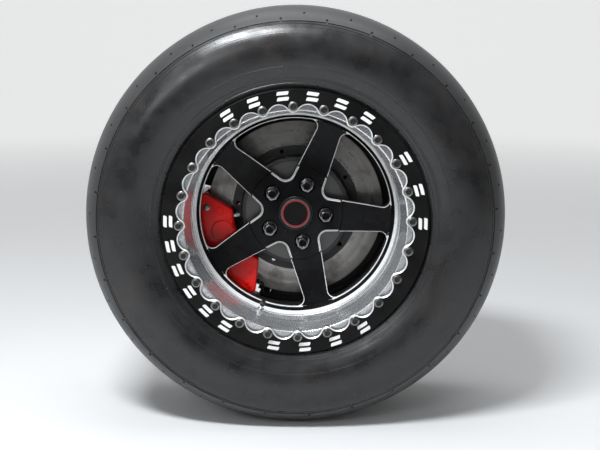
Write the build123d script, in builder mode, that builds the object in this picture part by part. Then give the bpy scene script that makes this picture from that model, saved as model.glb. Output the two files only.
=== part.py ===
import os
from math import asin, atan, cos, degrees, radians, sin

from build123d import *

# Wheel corner of a car: a beadlock wheel on its tyre, with the brake, the hub and the
# knuckle that carry it. Millimetres. The wheel turns about an axis along Y, -Y is the
# outside of the car, +X is towards its tail and +Z is up. The origin is in the bore of
# the lower arm. A station is a depth behind the front face of the beadlock ring.

# Place of the wheel in the frame
SPIN_HEIGHT = 120.0  # wheel axis above the lower arm bore
MOUNT_STATION = 147.0  # face of the wheel centre that seats on the disc hat
FIT = 0.15  # gap between faces that are bolted, bonded or pressed together
BOLT_FIT = 0.3  # radial gap of a bolt in its hole

# Tyre
TYRE_R = 387.0
TREAD_WIDTH = 178.0
TREAD_DROP = 2.5  # from the middle of the tread to its edge
SHOULDER_PLACE = 0.782  # share of the height from ring to tread below a shoulder's outer end
SHOULDER_SET = 5.5  # from the face that holds the bead outwards to that end
BULGE = 20.5  # how far a sidewall stands out past the face that holds its bead
BULGE_PLACE = 0.48  # share of that height below the bulge
SIDEWALL = 9.0
TREAD_WALL = 14.0
LINER_DROP = 7.0
BEAD_WIDTH = 17.5
BEAD_HEIGHT = 22.0

# Rim barrel
RIM_WIDTH = 279.4  # between the faces that hold the beads
BEAD_SEAT_R = 218.3
BEAD_STOP = 13.7  # height of the ridge behind the front bead
STOP_WIDTH = 5.0
STOP_SLOPE = 6.0
FLANGE = 18.2  # height of the rear flange above the bead seat
FLANGE_WIDTH = 10.5
FLANGE_CURL = 4.5
BARREL_DROP = 25.3  # from the bead seat to the inside of the barrel
BARREL_WALL = 5.5
REAR_SEAT = 34.0  # width of the rear bead seat
REAR_SLOPE = 28.0
MOUTH_STEP = 8.0  # how much wider the barrel opens at its front
MOUTH_DEPTH = 52.0  # stations over which the mouth narrows to the barrel
LIP = 2.2  # height of the lip that the wheel centre seats against
LIP_WIDTH = 4.5

# Beadlock ring and its bolts
RING_RISE = 21.7  # from the bead seat to the ring's outer edge
RING_THICK = 9.5
RING_BOLTS = 24
RING_BOLT_INSET = 9.6  # from the bead seat to the bolt circle
RING_BOLT_ANGLE = 91.1
RING_TAB_R = 11.0
SCALLOP = 4.0  # reach of the scallops outside the bolt circle
RING_BEVEL = 2.2
RING_EDGE = 1.5
RING_BOLT_R = 3.97
RING_BOLT_LENGTH = 26.0
RING_BOLT_ROOM = 3.0  # depth of a bolt hole past its bolt
RING_HEX = 12.7
RING_HEX_HEIGHT = 5.5
RING_WASHER_R = 8.7
RING_WASHER_THICK = 1.8

# Wheel centre
SPOKES = 5
SPOKE_ANGLE = -4.3
PAD_THICK = 25.0
PAD_MARGIN = 31.35  # from the lug circle to the edge of the pad
PAD_STEP = 1.8  # height of the pad over the spokes, as a slope of 45 degrees
PAD_RELIEF = 1.0  # how far the pad's back stands behind the spokes
SPOKE_DISH = 2.2  # hollow of the spokes' front faces
SPOKE_RISE = 32.0  # from the mounting face forward to the windows' outer ends
SPOKE_BACK = 8.0  # from the mounting face forward to the back of the spokes
BAND_FRONT = 50.6  # from the mounting face forward to the band's front edge
BAND_BACK = 5.0
WINDOW_MARGIN = 13.35  # from the windows to the outside of the centre
SPOKE_INNER_WIDTH = 60.0
SPOKE_OUTER_WIDTH = 46.0
SPOKE_INNER_R = 85.0
SPOKE_OUTER_MARGIN = 7.5
WINDOW_INNER_FILLET = 15.0
WINDOW_OUTER_FILLET = 13.0
WINDOW_BEVEL = 1.3
WINDOW_LEDGE = 0.5  # left between a window's bevel and the slope of the pad
PILOT_R = 35.2
PILOT_DEPTH = 12.0
CAP_BORE_R = 28.0

# Lug nuts, studs and centre cap
LUG_CIRCLE_R = 57.15
LUG_POCKET_R = 15.0
LUG_SEAT = 11.0  # web under a lug nut
LUG_EDGE = 0.8
NUT_LENGTH = 37.0
NUT_WIDTH = 19.0
NUT_FOOT = 6.0
NUT_FOOT_ROOM = 1.5
NUT_EDGE = 1.0
STUD_R = 6.35
STUD_SHORT = 9.0  # from the tip of a nut back to the tip of its stud
STUD_HEAD_R = 9.5
STUD_HEAD = 4.0
CAP_R = 32.0
CAP_HEIGHT = 10.0
CAP_RING_R = 25.5
CAP_RING_WIDTH = 2.35
CAP_RING_THICK = 1.2
CAP_BEZEL = 2.5
CAP_STEP = 2.5
CAP_SKIRT = 6.0
CAP_WALL = 2.5

# Brake disc and hat
DISC_R = 170.0
DISC_THICK = 28.0
CHEEK = 9.5
DISC_EDGE = 1.0
VANES = 36
VANE_THICK = 5.0
VANE_INSET = 1.0
HAT_FACE = 7.0
HAT_DEPTH = 38.85  # from the seat of the wheel centre to the disc's front face
HAT_ROOM = 28.0  # from the edge of the hub flange to the inside of the hat
HAT_WALL = 6.0
HAT_FLANGE_WIDTH = 18.15
HAT_FLANGE = 6.0
HAT_EDGE = 4.0
HAT_TABS = 10
HAT_TAB_INSET = 8.5  # from the outside of the hat to the circle of its bolts
HAT_TAB_R = 8.0
HAT_TAB_THICK = 8.0
TAB_OVERLAP = 3.0  # how far the disc's tabs run into its cheek
HAT_BOLT_R = 3.9

# Hub and bearing
HUB_FLANGE_MARGIN = 12.85  # from the lug circle to the flange's edge
HUB_FLANGE = 12.0
JOURNAL_R = 38.0
RUNNING_FIT = 0.05
SPLINE_BORE_R = 15.5
SPLINE_LENGTH = 60.0
NUT_POCKET_R = 25.0
NOSE_SHORT = 2.0  # how far the hub's nose and journal stay back in their bores
HUB_BEARING_GAP = 9.7
BEARING_WALL = 12.0
BEARING_LENGTH = 70.0
BEARING_FLANGE = 12.0
BEARING_BOLTS = 4
BEARING_BOLT_R = 6.0
BEARING_BOLT_MARGIN = 10.0  # each side of the circle of bearing bolts
BEARING_BOLT_HEAD_R = 9.0
BEARING_BOLT_HEAD = 8.0

# Knuckle: its arms end in bosses for the links
KNUCKLE_GAP = 18.0  # from the back of the disc to the front of the knuckle
KNUCKLE_DEPTH = 34.0
KNUCKLE_MARGIN = 4.0
SHAFT_ROOM = 6.0  # how much the shaft hole is smaller than the bearing in radius
ARM_ROOT_R = 46.0
ARM_THICK = 22.0
ARM_NARROW = 7.0  # how much smaller than its boss the end of an arm is in radius
ARM_SHIFT = 4.0  # from the bosses forward to the middle of the arms
EAR_ROOT_R = 37.0
HEAD_ROOM = 1.0  # round the heads of the bearing bolts
BACK_ROOM = 40.0  # depth kept clear behind the knuckle for them
LOWER_BOSS_R = 25.0
LOWER_BORE_R = 8.1
LOWER_BOSS_LENGTH = 60.0
UPPER_REACH = 126.0
UPPER_BOSS_R = 21.0
UPPER_BOSS_LENGTH = 46.0
LINK_BORE_R = 7.1
LINK_BOSS_R = 17.0
LINK_BOSS_LENGTH = 44.0
TOE_REACH = 126.0
TOE_DROP = 22.0
FRONT_REACH = 108.0
FRONT_RISE = 78.0
DAMPER_REACH = 82.0
DAMPER_DROP = 88.0
DAMPER_BOSS_LENGTH = 44.0

# Dust shield
SHIELD_THICK = 1.6
SHIELD_GAP = 6.5  # behind the disc
SHIELD_ROOM = 7.0  # from its edge to the inside of the barrel
SHIELD_DISH = 16.0  # radial width of its dished middle
SHIELD_LIP = 5.0
SHIELD_TOP_GAP = 2.5  # from the opening to the upper end of the caliper, in degrees
SHIELD_PIPE_GAP = 9.0  # from the opening to its lower end, past the pipe
SHIELD_TURN = 3.0  # radial width of the bends in the sheet

# Caliper, pads and their fasteners
CALIPER_ANGLE = 206.5
CALIPER_SPAN = 77.0  # along the outer edge
CALIPER_INNER_SPAN = 54.0  # along the inner edge
CALIPER_RISE = 16.5  # beyond the disc's edge
CALIPER_LIP = 2.3  # inside the disc's inner edge
CALIPER_CHEEK = 21.5
CALIPER_CORNER = 10.0
CALIPER_EDGE = 4.0
CALIPER_BACK_EDGE = 2.0
PISTON_BOSS_R = 21.0
PISTON_SPREAD = 21.0  # degrees between the middles of the piston bosses
END_BOSS_R = 8.0
END_BOSS_SPREAD = 52.0
BOSS_RISE = 1.5
BOSS_EDGE = 1.0
DISC_CLEARANCE = 5.5
BRIDGE_SPAN = 10.0
PAD_DEPTH = 14.0
PAD_PLATE = 5.0
PAD_GAP = 1.0  # running gap between pad and disc
PAD_SPAN = 42.0
PAD_ROOM = 0.4  # gap at each end of a pad, in degrees
PAD_INSET = 1.5  # from the disc's edge to the pad's
PAD_EDGE = 2.0  # from the edge of the plate to the lining
PAD_CORNER = 4.0
PAD_EAR_SPAN = 9.0
PAD_EAR_RISE = 5.0  # beyond the pin
CALIPER_BOLT_R = 4.0
CALIPER_BOLT_HEAD = 5.0
CALIPER_BOLT_RIM = 2.0
BOLT_COVER = 10.0  # wall left in front of the bolts that join the halves
BOLT_SHORT = 2.0  # from the end of a blind hole back to its bolt or pin
EAR_SPREAD = 35.0  # degrees from the caliper's middle to each ear
EAR_R = 13.0
EAR_DROP = 10.0  # from the inner edge of the caliper to its ears
EAR_JOIN = 0.33  # share of the caliper's end inside the root of an ear
EAR_JOIN_SPREAD = 27.0
EAR_BOLT_R = 6.0
EAR_BOLT_HEAD_R = 9.6
EAR_BOLT_HEAD = 8.0
PIN_R = 2.5
PIN_MARGIN = 8.5  # from the caliper's outer edge to the pad pin
PIN_HOLE = 9.0
BLEEDER_R = 3.5
BLEEDER_HEX = 8.0
BLEEDER_HEX_HEIGHT = 5.0
BLEEDER_HEIGHT = 12.0
BLEEDER_SPREAD = 21.0  # degrees from the caliper's middle
PIPE_R = 2.4
PIPE_BEND_R = 6.0
PIPE_PLACE = 0.62  # share of the caliper's end inside the pipe's feet
PIPE_STAND = 13.0
PIPE_NUT_R = 5.0
PIPE_NUT_LENGTH = 5.0

# Valve and balance weight
VALVE_ANGLE = 249.5
VALVE_GAP = 11.75  # in front of the lip
VALVE_LEAN = 22.0  # degrees from straight inwards, towards the outside
VALVE_LENGTH = 24.0
VALVE_R = 4.0
VALVE_CAP_R = 5.0
VALVE_CAP_LENGTH = 10.0
VALVE_NUT_STAND = 3.2
VALVE_NUT_R = 6.5
VALVE_NUT_THICK = 4.0
WEIGHT_WIDTH = 14.0
WEIGHT_INSET = 16.9  # from the face that holds the rear bead
WEIGHT_THICK = 5.0
WEIGHT_SPAN = 6.5

# Radii that follow from the driving sizes
barrel_r = BEAD_SEAT_R - BARREL_DROP
barrel_out = barrel_r + BARREL_WALL
mouth_r = barrel_r + MOUTH_STEP
flange_r = BEAD_SEAT_R + FLANGE
ring_r = BEAD_SEAT_R + RING_RISE
ring_bolt_circle_r = BEAD_SEAT_R - RING_BOLT_INSET
scallop_r = ring_bolt_circle_r + SCALLOP
centre_r = barrel_r - FIT
window_r = centre_r - WINDOW_MARGIN
spoke_outer_r = window_r - SPOKE_OUTER_MARGIN
pad_r = LUG_CIRCLE_R + PAD_MARGIN
hub_flange_r = LUG_CIRCLE_R + HUB_FLANGE_MARGIN
hat_r = hub_flange_r + HAT_ROOM + HAT_WALL
disc_inner_r = hat_r + HAT_FLANGE_WIDTH + FIT
hat_tab_circle_r = hat_r + HAT_TAB_INSET
bearing_r = JOURNAL_R + BEARING_WALL
bearing_bolt_circle_r = bearing_r + BEARING_BOLT_MARGIN
bearing_flange_r = bearing_bolt_circle_r + BEARING_BOLT_MARGIN
knuckle_r = bearing_flange_r + KNUCKLE_MARGIN
shield_r = barrel_r - SHIELD_ROOM
shield_cone_r = knuckle_r + SHIELD_DISH
pad_inner_r = disc_inner_r + PAD_INSET
pad_outer_r = DISC_R - PAD_INSET
bridge_r = DISC_R + DISC_CLEARANCE
caliper_inner_r = disc_inner_r - CALIPER_LIP
caliper_outer_r = DISC_R + CALIPER_RISE
ear_circle_r = caliper_inner_r - EAR_DROP
ear_join_r = caliper_inner_r + (caliper_outer_r - caliper_inner_r) * EAR_JOIN
pin_circle_r = caliper_outer_r - PIN_MARGIN

# Stations that follow, from the front to the back
seat_front = RING_THICK + FIT
bead_back = RING_THICK + BEAD_WIDTH
bead_in = RING_THICK + RIM_WIDTH
rim_end = bead_in + FLANGE_WIDTH
middle_station = RING_THICK + RIM_WIDTH / 2
band_front = MOUNT_STATION - BAND_FRONT
lip_back = band_front - FIT
lip_front = lip_back - LIP_WIDTH
valve_station = lip_front - VALVE_GAP
pad_station = MOUNT_STATION - PAD_THICK
lug_seat_station = MOUNT_STATION - LUG_SEAT
nut_tip_station = lug_seat_station - NUT_LENGTH
hat_seat = MOUNT_STATION + FIT
hub_face = hat_seat + HAT_FACE + FIT
hub_back = hub_face + HUB_FLANGE
disc_front = hat_seat + HAT_DEPTH
disc_back = disc_front + DISC_THICK
disc_middle = disc_front + DISC_THICK / 2
bearing_front = hub_back + HUB_BEARING_GAP
bearing_back = bearing_front + BEARING_LENGTH
knuckle_front = disc_back + KNUCKLE_GAP
knuckle_back = knuckle_front + KNUCKLE_DEPTH
shield_seat = knuckle_front - FIT
shield_front = disc_back + SHIELD_GAP
bearing_flange_back = shield_seat - SHIELD_THICK - FIT
outer_wall = disc_front - PAD_GAP - PAD_DEPTH - FIT
inner_wall = disc_back + PAD_GAP + PAD_DEPTH + FIT
caliper_front = outer_wall - CALIPER_CHEEK
caliper_back = inner_wall + CALIPER_CHEEK
arm_station = knuckle_back

# Section plane: its X is the station and its Y is the radius
section_plane = Plane((0, -arm_station, SPIN_HEIGHT), (0, 1, 0), (1, 0, 0))
spin_axis = Axis((0, 0, SPIN_HEIGHT), (0, 1, 0))


def wheel_plane(station):
    # Plane across the wheel at a station, facing the outside of the car
    return Plane((0, station - arm_station, SPIN_HEIGHT), (1, 0, 0), (0, -1, 0))


def polar(radius, angle):
    # Point in a wheel plane, with the angle measured from +X towards +Z
    return (radius * cos(radians(angle)), radius * sin(radians(angle)))


def section(*rows):
    # Closed outline from rows of station, radius and corner radius
    FilletPolyline([row[:2] for row in rows], radius=[row[2] for row in rows], close=True)


def sector(inner_r, outer_r, middle_angle, span):
    # Outline of a piece of a ring
    start = middle_angle - span / 2
    outer = CenterArc((0, 0), outer_r, start, span)
    inner = CenterArc((0, 0), inner_r, start, span)
    Line(inner @ 0, outer @ 0)
    Line(inner @ 1, outer @ 1)


def at_radius(edges, radius):
    # Those of the edges that are arcs of one radius
    return [edge for edge in edges.filter_by(GeomType.CIRCLE) if abs(edge.radius - radius) < 0.01]


os.makedirs("parts", exist_ok=True)

# Tyre: one hollow section, mirrored about the middle of the tread and turned
tread_edge = (middle_station - TREAD_WIDTH / 2, TYRE_R - TREAD_DROP)
shoulder = (RING_THICK - SHOULDER_SET, ring_r + (TYRE_R - ring_r) * SHOULDER_PLACE)
bulge_r = ring_r + (TYRE_R - ring_r) * BULGE_PLACE
bulge_station = RING_THICK - BULGE
liner_r = TYRE_R - TREAD_WALL
liner_edge = (tread_edge[0], liner_r - LINER_DROP)
with BuildPart() as tyre:
    with BuildSketch(section_plane):
        with BuildLine():
            tread = TangentArc((middle_station, TYRE_R), tread_edge, tangent=(-1, 0))
            TangentArc(tread_edge, shoulder, tangent=tread % 1)
            TangentArc((bulge_station, bulge_r), shoulder, tangent=(0, 1))
            TangentArc((bulge_station, bulge_r), (seat_front, ring_r + 1), tangent=(0, -1))
            Line((seat_front, ring_r + 1), (seat_front, BEAD_SEAT_R + FIT))
            Line((seat_front, BEAD_SEAT_R + FIT), (bead_back, BEAD_SEAT_R + FIT))
            Line((bead_back, BEAD_SEAT_R + FIT), (bead_back, BEAD_SEAT_R + BEAD_HEIGHT))
            wall = (bulge_station + SIDEWALL, bulge_r)
            TangentArc(wall, (bead_back, BEAD_SEAT_R + BEAD_HEIGHT), tangent=(0, -1))
            liner = TangentArc((middle_station, liner_r), liner_edge, tangent=(-1, 0))
            TangentArc(liner_edge, wall, tangent=liner % 1)
            mirror(about=Plane.YZ.offset(middle_station))
        make_face()
    revolve(axis=spin_axis)
tyre.part.label = "tyre"
export_step(tyre.part, "parts/tyre.step")

# Rim barrel: seat of the ring and the bead in front, lip for the centre, flange behind
stop_front = bead_back + FIT
stop_r = BEAD_SEAT_R + BEAD_STOP
rear_seat_in_r = BEAD_SEAT_R - BARREL_WALL
with BuildPart() as rim_barrel:
    with BuildSketch(section_plane):
        with BuildLine():
            section(
                (seat_front, mouth_r, 2.5),
                (seat_front, BEAD_SEAT_R, 0),
                (stop_front, BEAD_SEAT_R, 0),
                (stop_front, stop_r, 1.5),
                (stop_front + STOP_WIDTH, stop_r, 1.5),
                (stop_front + STOP_WIDTH + STOP_SLOPE, mouth_r + BARREL_WALL, 5),
                (seat_front + MOUTH_DEPTH, barrel_out, 12),
                (bead_in - REAR_SEAT - REAR_SLOPE, barrel_out, 15),
                (bead_in - REAR_SEAT, BEAD_SEAT_R, 6),
                (bead_in, BEAD_SEAT_R, 0),
                (bead_in, flange_r, 4),
                (rim_end, flange_r, 2),
                (rim_end, flange_r - FLANGE_CURL, 1.5),
                (bead_in + BARREL_WALL, flange_r - FLANGE_CURL, 1.5),
                (bead_in + BARREL_WALL, rear_seat_in_r, 5),
                (bead_in - REAR_SEAT, rear_seat_in_r, 6),
                (bead_in - REAR_SEAT - REAR_SLOPE, barrel_r, 15),
                (lip_back, barrel_r, 0),
                (lip_back, barrel_r - LIP, 1),
                (lip_front, barrel_r - LIP, 2),
                (lip_front - LIP, barrel_r, 2),
                (seat_front + MOUTH_DEPTH, barrel_r, 20),
            )
        make_face()
    revolve(axis=spin_axis)
    with BuildSketch(wheel_plane(RING_THICK)):
        with PolarLocations(ring_bolt_circle_r, RING_BOLTS, start_angle=RING_BOLT_ANGLE):
            Circle(RING_BOLT_R + BOLT_FIT)
    extrude(amount=-(RING_BOLT_LENGTH - RING_THICK + RING_BOLT_ROOM), mode=Mode.SUBTRACT)
    valve_base = polar(barrel_r, VALVE_ANGLE)
    valve_in = Vector(*polar(-cos(radians(VALVE_LEAN)), VALVE_ANGLE), sin(radians(VALVE_LEAN)))
    valve_plane = Plane(
        wheel_plane(valve_station).from_local_coords(Vector(*valve_base, 0)),
        z_dir=wheel_plane(0).from_local_coords(valve_in) - wheel_plane(0).origin,
    )
    with BuildSketch(valve_plane.offset(-2 * BARREL_WALL)):
        Circle(VALVE_R + BOLT_FIT)
    extrude(amount=3 * BARREL_WALL, mode=Mode.SUBTRACT)
rim_barrel.part.label = "rim_barrel"
export_step(rim_barrel.part, "parts/rim_barrel.step")

# Beadlock ring: its inner edge runs in tangent arcs round the bolt tabs and scallops
pitch = 360 / RING_BOLTS
ring_bolt_places = PolarLocations(ring_bolt_circle_r, RING_BOLTS, start_angle=RING_BOLT_ANGLE)
tab_reach = scallop_r - ring_bolt_circle_r * cos(radians(pitch / 2))
scallop_arc_r = (
    scallop_r**2
    + ring_bolt_circle_r**2
    - 2 * scallop_r * (scallop_r - tab_reach)
    - RING_TAB_R**2
) / (2 * (RING_TAB_R + tab_reach))
tangent_share = RING_TAB_R / (RING_TAB_R + scallop_arc_r)
with BuildPart() as beadlock_ring:
    with BuildSketch(wheel_plane(RING_THICK)):
        Circle(ring_r)
        with BuildLine():
            for tab in range(RING_BOLTS):
                angle = RING_BOLT_ANGLE + tab * pitch
                bolt = Vector(*polar(ring_bolt_circle_r, angle))
                before = Vector(*polar(scallop_r - scallop_arc_r, angle - pitch / 2))
                after = Vector(*polar(scallop_r - scallop_arc_r, angle + pitch / 2))
                following = Vector(*polar(ring_bolt_circle_r, angle + pitch))
                tab_start = bolt + (before - bolt) * tangent_share
                tab_end = bolt + (after - bolt) * tangent_share
                next_start = following + (after - following) * tangent_share
                ThreePointArc(tab_start, polar(ring_bolt_circle_r - RING_TAB_R, angle), tab_end)
                ThreePointArc(tab_end, polar(scallop_r, angle + pitch / 2), next_start)
        make_face(mode=Mode.SUBTRACT)
        with ring_bolt_places:
            Circle(RING_BOLT_R + BOLT_FIT, mode=Mode.SUBTRACT)
    extrude(amount=RING_THICK)
    ring_face = beadlock_ring.faces().sort_by(Axis.Y)[0]
    chamfer(ring_face.inner_wires().sort_by(SortBy.LENGTH)[-1].edges(), length=RING_BEVEL)
    ring_face = beadlock_ring.faces().sort_by(Axis.Y)[0]
    fillet(ring_face.outer_wire().edges(), radius=RING_EDGE)
beadlock_ring.part.label = "beadlock_ring"
export_step(beadlock_ring.part, "parts/beadlock_ring.step")

# Beadlock bolts: shank, washer and hexagon head
with BuildPart() as beadlock_bolts:
    with BuildSketch(wheel_plane(RING_BOLT_LENGTH)):
        with ring_bolt_places:
            Circle(RING_BOLT_R)
    extrude(amount=RING_BOLT_LENGTH)
    with BuildSketch(wheel_plane(0)):
        with ring_bolt_places:
            Circle(RING_WASHER_R)
    extrude(amount=RING_WASHER_THICK)
    with BuildSketch(wheel_plane(-RING_WASHER_THICK)):
        with ring_bolt_places:
            RegularPolygon(RING_HEX / 2, 6, major_radius=False)
    extrude(amount=RING_HEX_HEIGHT)
beadlock_bolts.part.label = "beadlock_bolts"
export_step(beadlock_bolts.part, "parts/beadlock_bolts.step")

# Wheel centre: a turned blank with dished spokes, left by five bevelled windows
half_pitch = 180 / SPOKES
lug_places = PolarLocations(LUG_CIRCLE_R, SPOKES, start_angle=SPOKE_ANGLE)
spoke_slope = (SPOKE_OUTER_WIDTH - SPOKE_INNER_WIDTH) / 2 / (spoke_outer_r - SPOKE_INNER_R)
spoke_offset = SPOKE_INNER_WIDTH / 2 - spoke_slope * SPOKE_INNER_R
apex = spoke_offset / (sin(radians(half_pitch)) - spoke_slope * cos(radians(half_pitch)))
edge_turn = atan(spoke_slope)
edge_angle = degrees(asin(spoke_offset * cos(edge_turn) / window_r) + edge_turn)
spoke_front = pad_station + PAD_STEP
rim_edge = MOUNT_STATION - SPOKE_RISE
with BuildSketch() as window:
    with BuildLine():
        near = polar(window_r, edge_angle)
        far = polar(window_r, 2 * half_pitch - edge_angle)
        Polyline(near, polar(apex, half_pitch), far)
        ThreePointArc(far, polar(window_r, half_pitch), near)
    make_face()
    corners = window.vertices().sort_by_distance((0, 0))
    fillet(corners[1:], radius=WINDOW_OUTER_FILLET)
    fillet(window.vertices().sort_by_distance((0, 0))[0], radius=WINDOW_INNER_FILLET)
with BuildSketch() as window_ledge:
    add(window.sketch)
    offset(amount=WINDOW_BEVEL + WINDOW_LEDGE, mode=Mode.REPLACE)
window_places = PolarLocations(0, SPOKES, start_angle=SPOKE_ANGLE)
with BuildPart() as wheel_centre:
    with BuildSketch(section_plane):
        with BuildLine():
            face = ThreePointArc(
                (spoke_front, pad_r + PAD_STEP),
                ((spoke_front + rim_edge) / 2 + SPOKE_DISH, (pad_r + window_r) / 2),
                (rim_edge, window_r),
            )
            Polyline(
                face @ 1,
                (band_front, centre_r),
                (MOUNT_STATION - BAND_BACK, centre_r),
                (MOUNT_STATION - BAND_BACK, window_r),
                (MOUNT_STATION - SPOKE_BACK, window_r),
                (MOUNT_STATION - PAD_RELIEF, pad_r),
                (MOUNT_STATION, hub_flange_r),
                (MOUNT_STATION, PILOT_R),
                (MOUNT_STATION - PILOT_DEPTH, PILOT_R),
                (MOUNT_STATION - PILOT_DEPTH, CAP_BORE_R),
                (spoke_front, CAP_BORE_R),
                face @ 0,
            )
        make_face()
    revolve(axis=spin_axis)
    with BuildSketch(wheel_plane(MOUNT_STATION)):
        with window_places:
            add(window.sketch)
    extrude(amount=BAND_FRONT, mode=Mode.SUBTRACT)
    walls = wheel_centre.faces(Select.LAST).filter_by(lambda wall: abs(wall.normal_at().Y) < 0.01)
    rims = walls.edges().filter_by(lambda rim: abs((rim % 0.5).Y) < 0.5)
    middle_y = lug_seat_station - arm_station
    chamfer(rims.filter_by(lambda rim: rim.center().Y < middle_y), length=WINDOW_BEVEL)
    with BuildSketch(wheel_plane(spoke_front)):
        Circle(pad_r + PAD_STEP)
        with window_places:
            add(window_ledge.sketch, mode=Mode.SUBTRACT)
    extrude(amount=PAD_STEP, taper=45)
    with BuildSketch(wheel_plane(MOUNT_STATION)):
        Circle(CAP_BORE_R)
    extrude(amount=PAD_THICK, mode=Mode.SUBTRACT)
    with BuildSketch(wheel_plane(lug_seat_station)):
        with lug_places:
            Circle(LUG_POCKET_R)
    extrude(amount=PAD_THICK, mode=Mode.SUBTRACT)
    with BuildSketch(wheel_plane(MOUNT_STATION)):
        with lug_places:
            Circle(STUD_R + BOLT_FIT)
    extrude(amount=PAD_THICK, mode=Mode.SUBTRACT)
    pad_face = wheel_centre.faces().sort_by(Axis.Y).filter_by(GeomType.PLANE)[0]
    chamfer(at_radius(pad_face.edges(), LUG_POCKET_R), length=LUG_EDGE)
wheel_centre.part.label = "wheel_centre"
export_step(wheel_centre.part, "parts/wheel_centre.step")

# Lug nuts: long hexagons, open at the tip, on a round foot
with BuildPart() as lug_nuts:
    with BuildSketch(wheel_plane(lug_seat_station)):
        with lug_places:
            Circle(LUG_POCKET_R - NUT_FOOT_ROOM)
    extrude(amount=NUT_FOOT)
    chamfer(lug_nuts.faces().group_by(Axis.Y)[0].edges(), length=NUT_EDGE)
    with BuildSketch(wheel_plane(lug_seat_station - NUT_FOOT)):
        with lug_places:
            RegularPolygon(NUT_WIDTH / 2, 6, major_radius=False)
    extrude(amount=NUT_LENGTH - NUT_FOOT)
    with BuildSketch(wheel_plane(lug_seat_station)):
        with lug_places:
            Circle(STUD_R + FIT)
    extrude(amount=NUT_LENGTH, mode=Mode.SUBTRACT)
    chamfer(lug_nuts.faces().group_by(Axis.Y)[0].edges(), length=NUT_EDGE)
lug_nuts.part.label = "lug_nuts"
export_step(lug_nuts.part, "parts/lug_nuts.step")

# Wheel studs: pressed into the hub flange from behind
with BuildPart() as wheel_studs:
    with BuildSketch(wheel_plane(hub_back)):
        with lug_places:
            Circle(STUD_R)
    extrude(amount=hub_back - nut_tip_station - STUD_SHORT)
    with BuildSketch(wheel_plane(hub_back + STUD_HEAD)):
        with lug_places:
            Circle(STUD_HEAD_R)
    extrude(amount=STUD_HEAD)
wheel_studs.part.label = "wheel_studs"
export_step(wheel_studs.part, "parts/wheel_studs.step")

# Centre cap: a stepped cover with a skirt that snaps into the bore
cap_back = pad_station - FIT
cap_front = cap_back - CAP_HEIGHT
cap_face = cap_front + CAP_RING_THICK
bezel_r = CAP_RING_R + CAP_BEZEL
skirt_r = CAP_BORE_R - FIT
with BuildPart() as centre_cap:
    with BuildSketch(section_plane):
        with BuildLine():
            section(
                (cap_face, 0, 0),
                (cap_face, CAP_RING_R, 0),
                (cap_front, CAP_RING_R, 0),
                (cap_front, bezel_r, CAP_STEP / 3),
                (cap_front + CAP_STEP, bezel_r, 0),
                (cap_front + CAP_STEP, CAP_R, CAP_STEP / 2),
                (cap_back, CAP_R, 0),
                (cap_back, skirt_r, 0),
                (cap_back + CAP_SKIRT, skirt_r, 0),
                (cap_back + CAP_SKIRT, skirt_r - CAP_WALL, 0),
                (cap_face + CAP_WALL, skirt_r - CAP_WALL, 0),
                (cap_face + CAP_WALL, 0, 0),
            )
        make_face()
    revolve(axis=spin_axis)
centre_cap.part.label = "centre_cap"
export_step(centre_cap.part, "parts/centre_cap.step")

# Cap ring: a coloured ring round the bare disc of the cap
with BuildPart() as cap_ring:
    with BuildSketch(wheel_plane(cap_face - FIT)):
        Circle(CAP_RING_R - FIT)
        Circle(CAP_RING_R - FIT - CAP_RING_WIDTH, mode=Mode.SUBTRACT)
    extrude(amount=CAP_RING_THICK - FIT)
cap_ring.part.label = "cap_ring"
export_step(cap_ring.part, "parts/cap_ring.step")

# Valve stem: screwed into the barrel wall, with its cap
with BuildPart() as valve_stem:
    with BuildSketch(valve_plane.offset(-BARREL_WALL)):
        Circle(VALVE_R)
    extrude(amount=BARREL_WALL + VALVE_LENGTH)
    with BuildSketch(valve_plane.offset(VALVE_NUT_STAND)):
        RegularPolygon(VALVE_NUT_R, 6)
    extrude(amount=VALVE_NUT_THICK)
    with BuildSketch(valve_plane.offset(VALVE_LENGTH - VALVE_CAP_LENGTH + 1)):
        Circle(VALVE_CAP_R)
    extrude(amount=VALVE_CAP_LENGTH)
    chamfer(valve_stem.edges().sort_by(Axis(valve_plane.origin, valve_plane.z_dir))[-1], length=NUT_EDGE)
valve_stem.part.label = "valve_stem"
export_step(valve_stem.part, "parts/valve_stem.step")

# Balance weight: stuck in the rim's inner seat, opposite the valve
weight_out_r = rear_seat_in_r - FIT
with BuildPart() as balance_weight:
    with BuildSketch(wheel_plane(bead_in - WEIGHT_INSET)):
        with BuildLine():
            sector(weight_out_r - WEIGHT_THICK, weight_out_r, VALVE_ANGLE - 180, WEIGHT_SPAN)
        make_face()
    extrude(amount=WEIGHT_WIDTH)
balance_weight.part.label = "balance_weight"
export_step(balance_weight.part, "parts/balance_weight.step")

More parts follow.
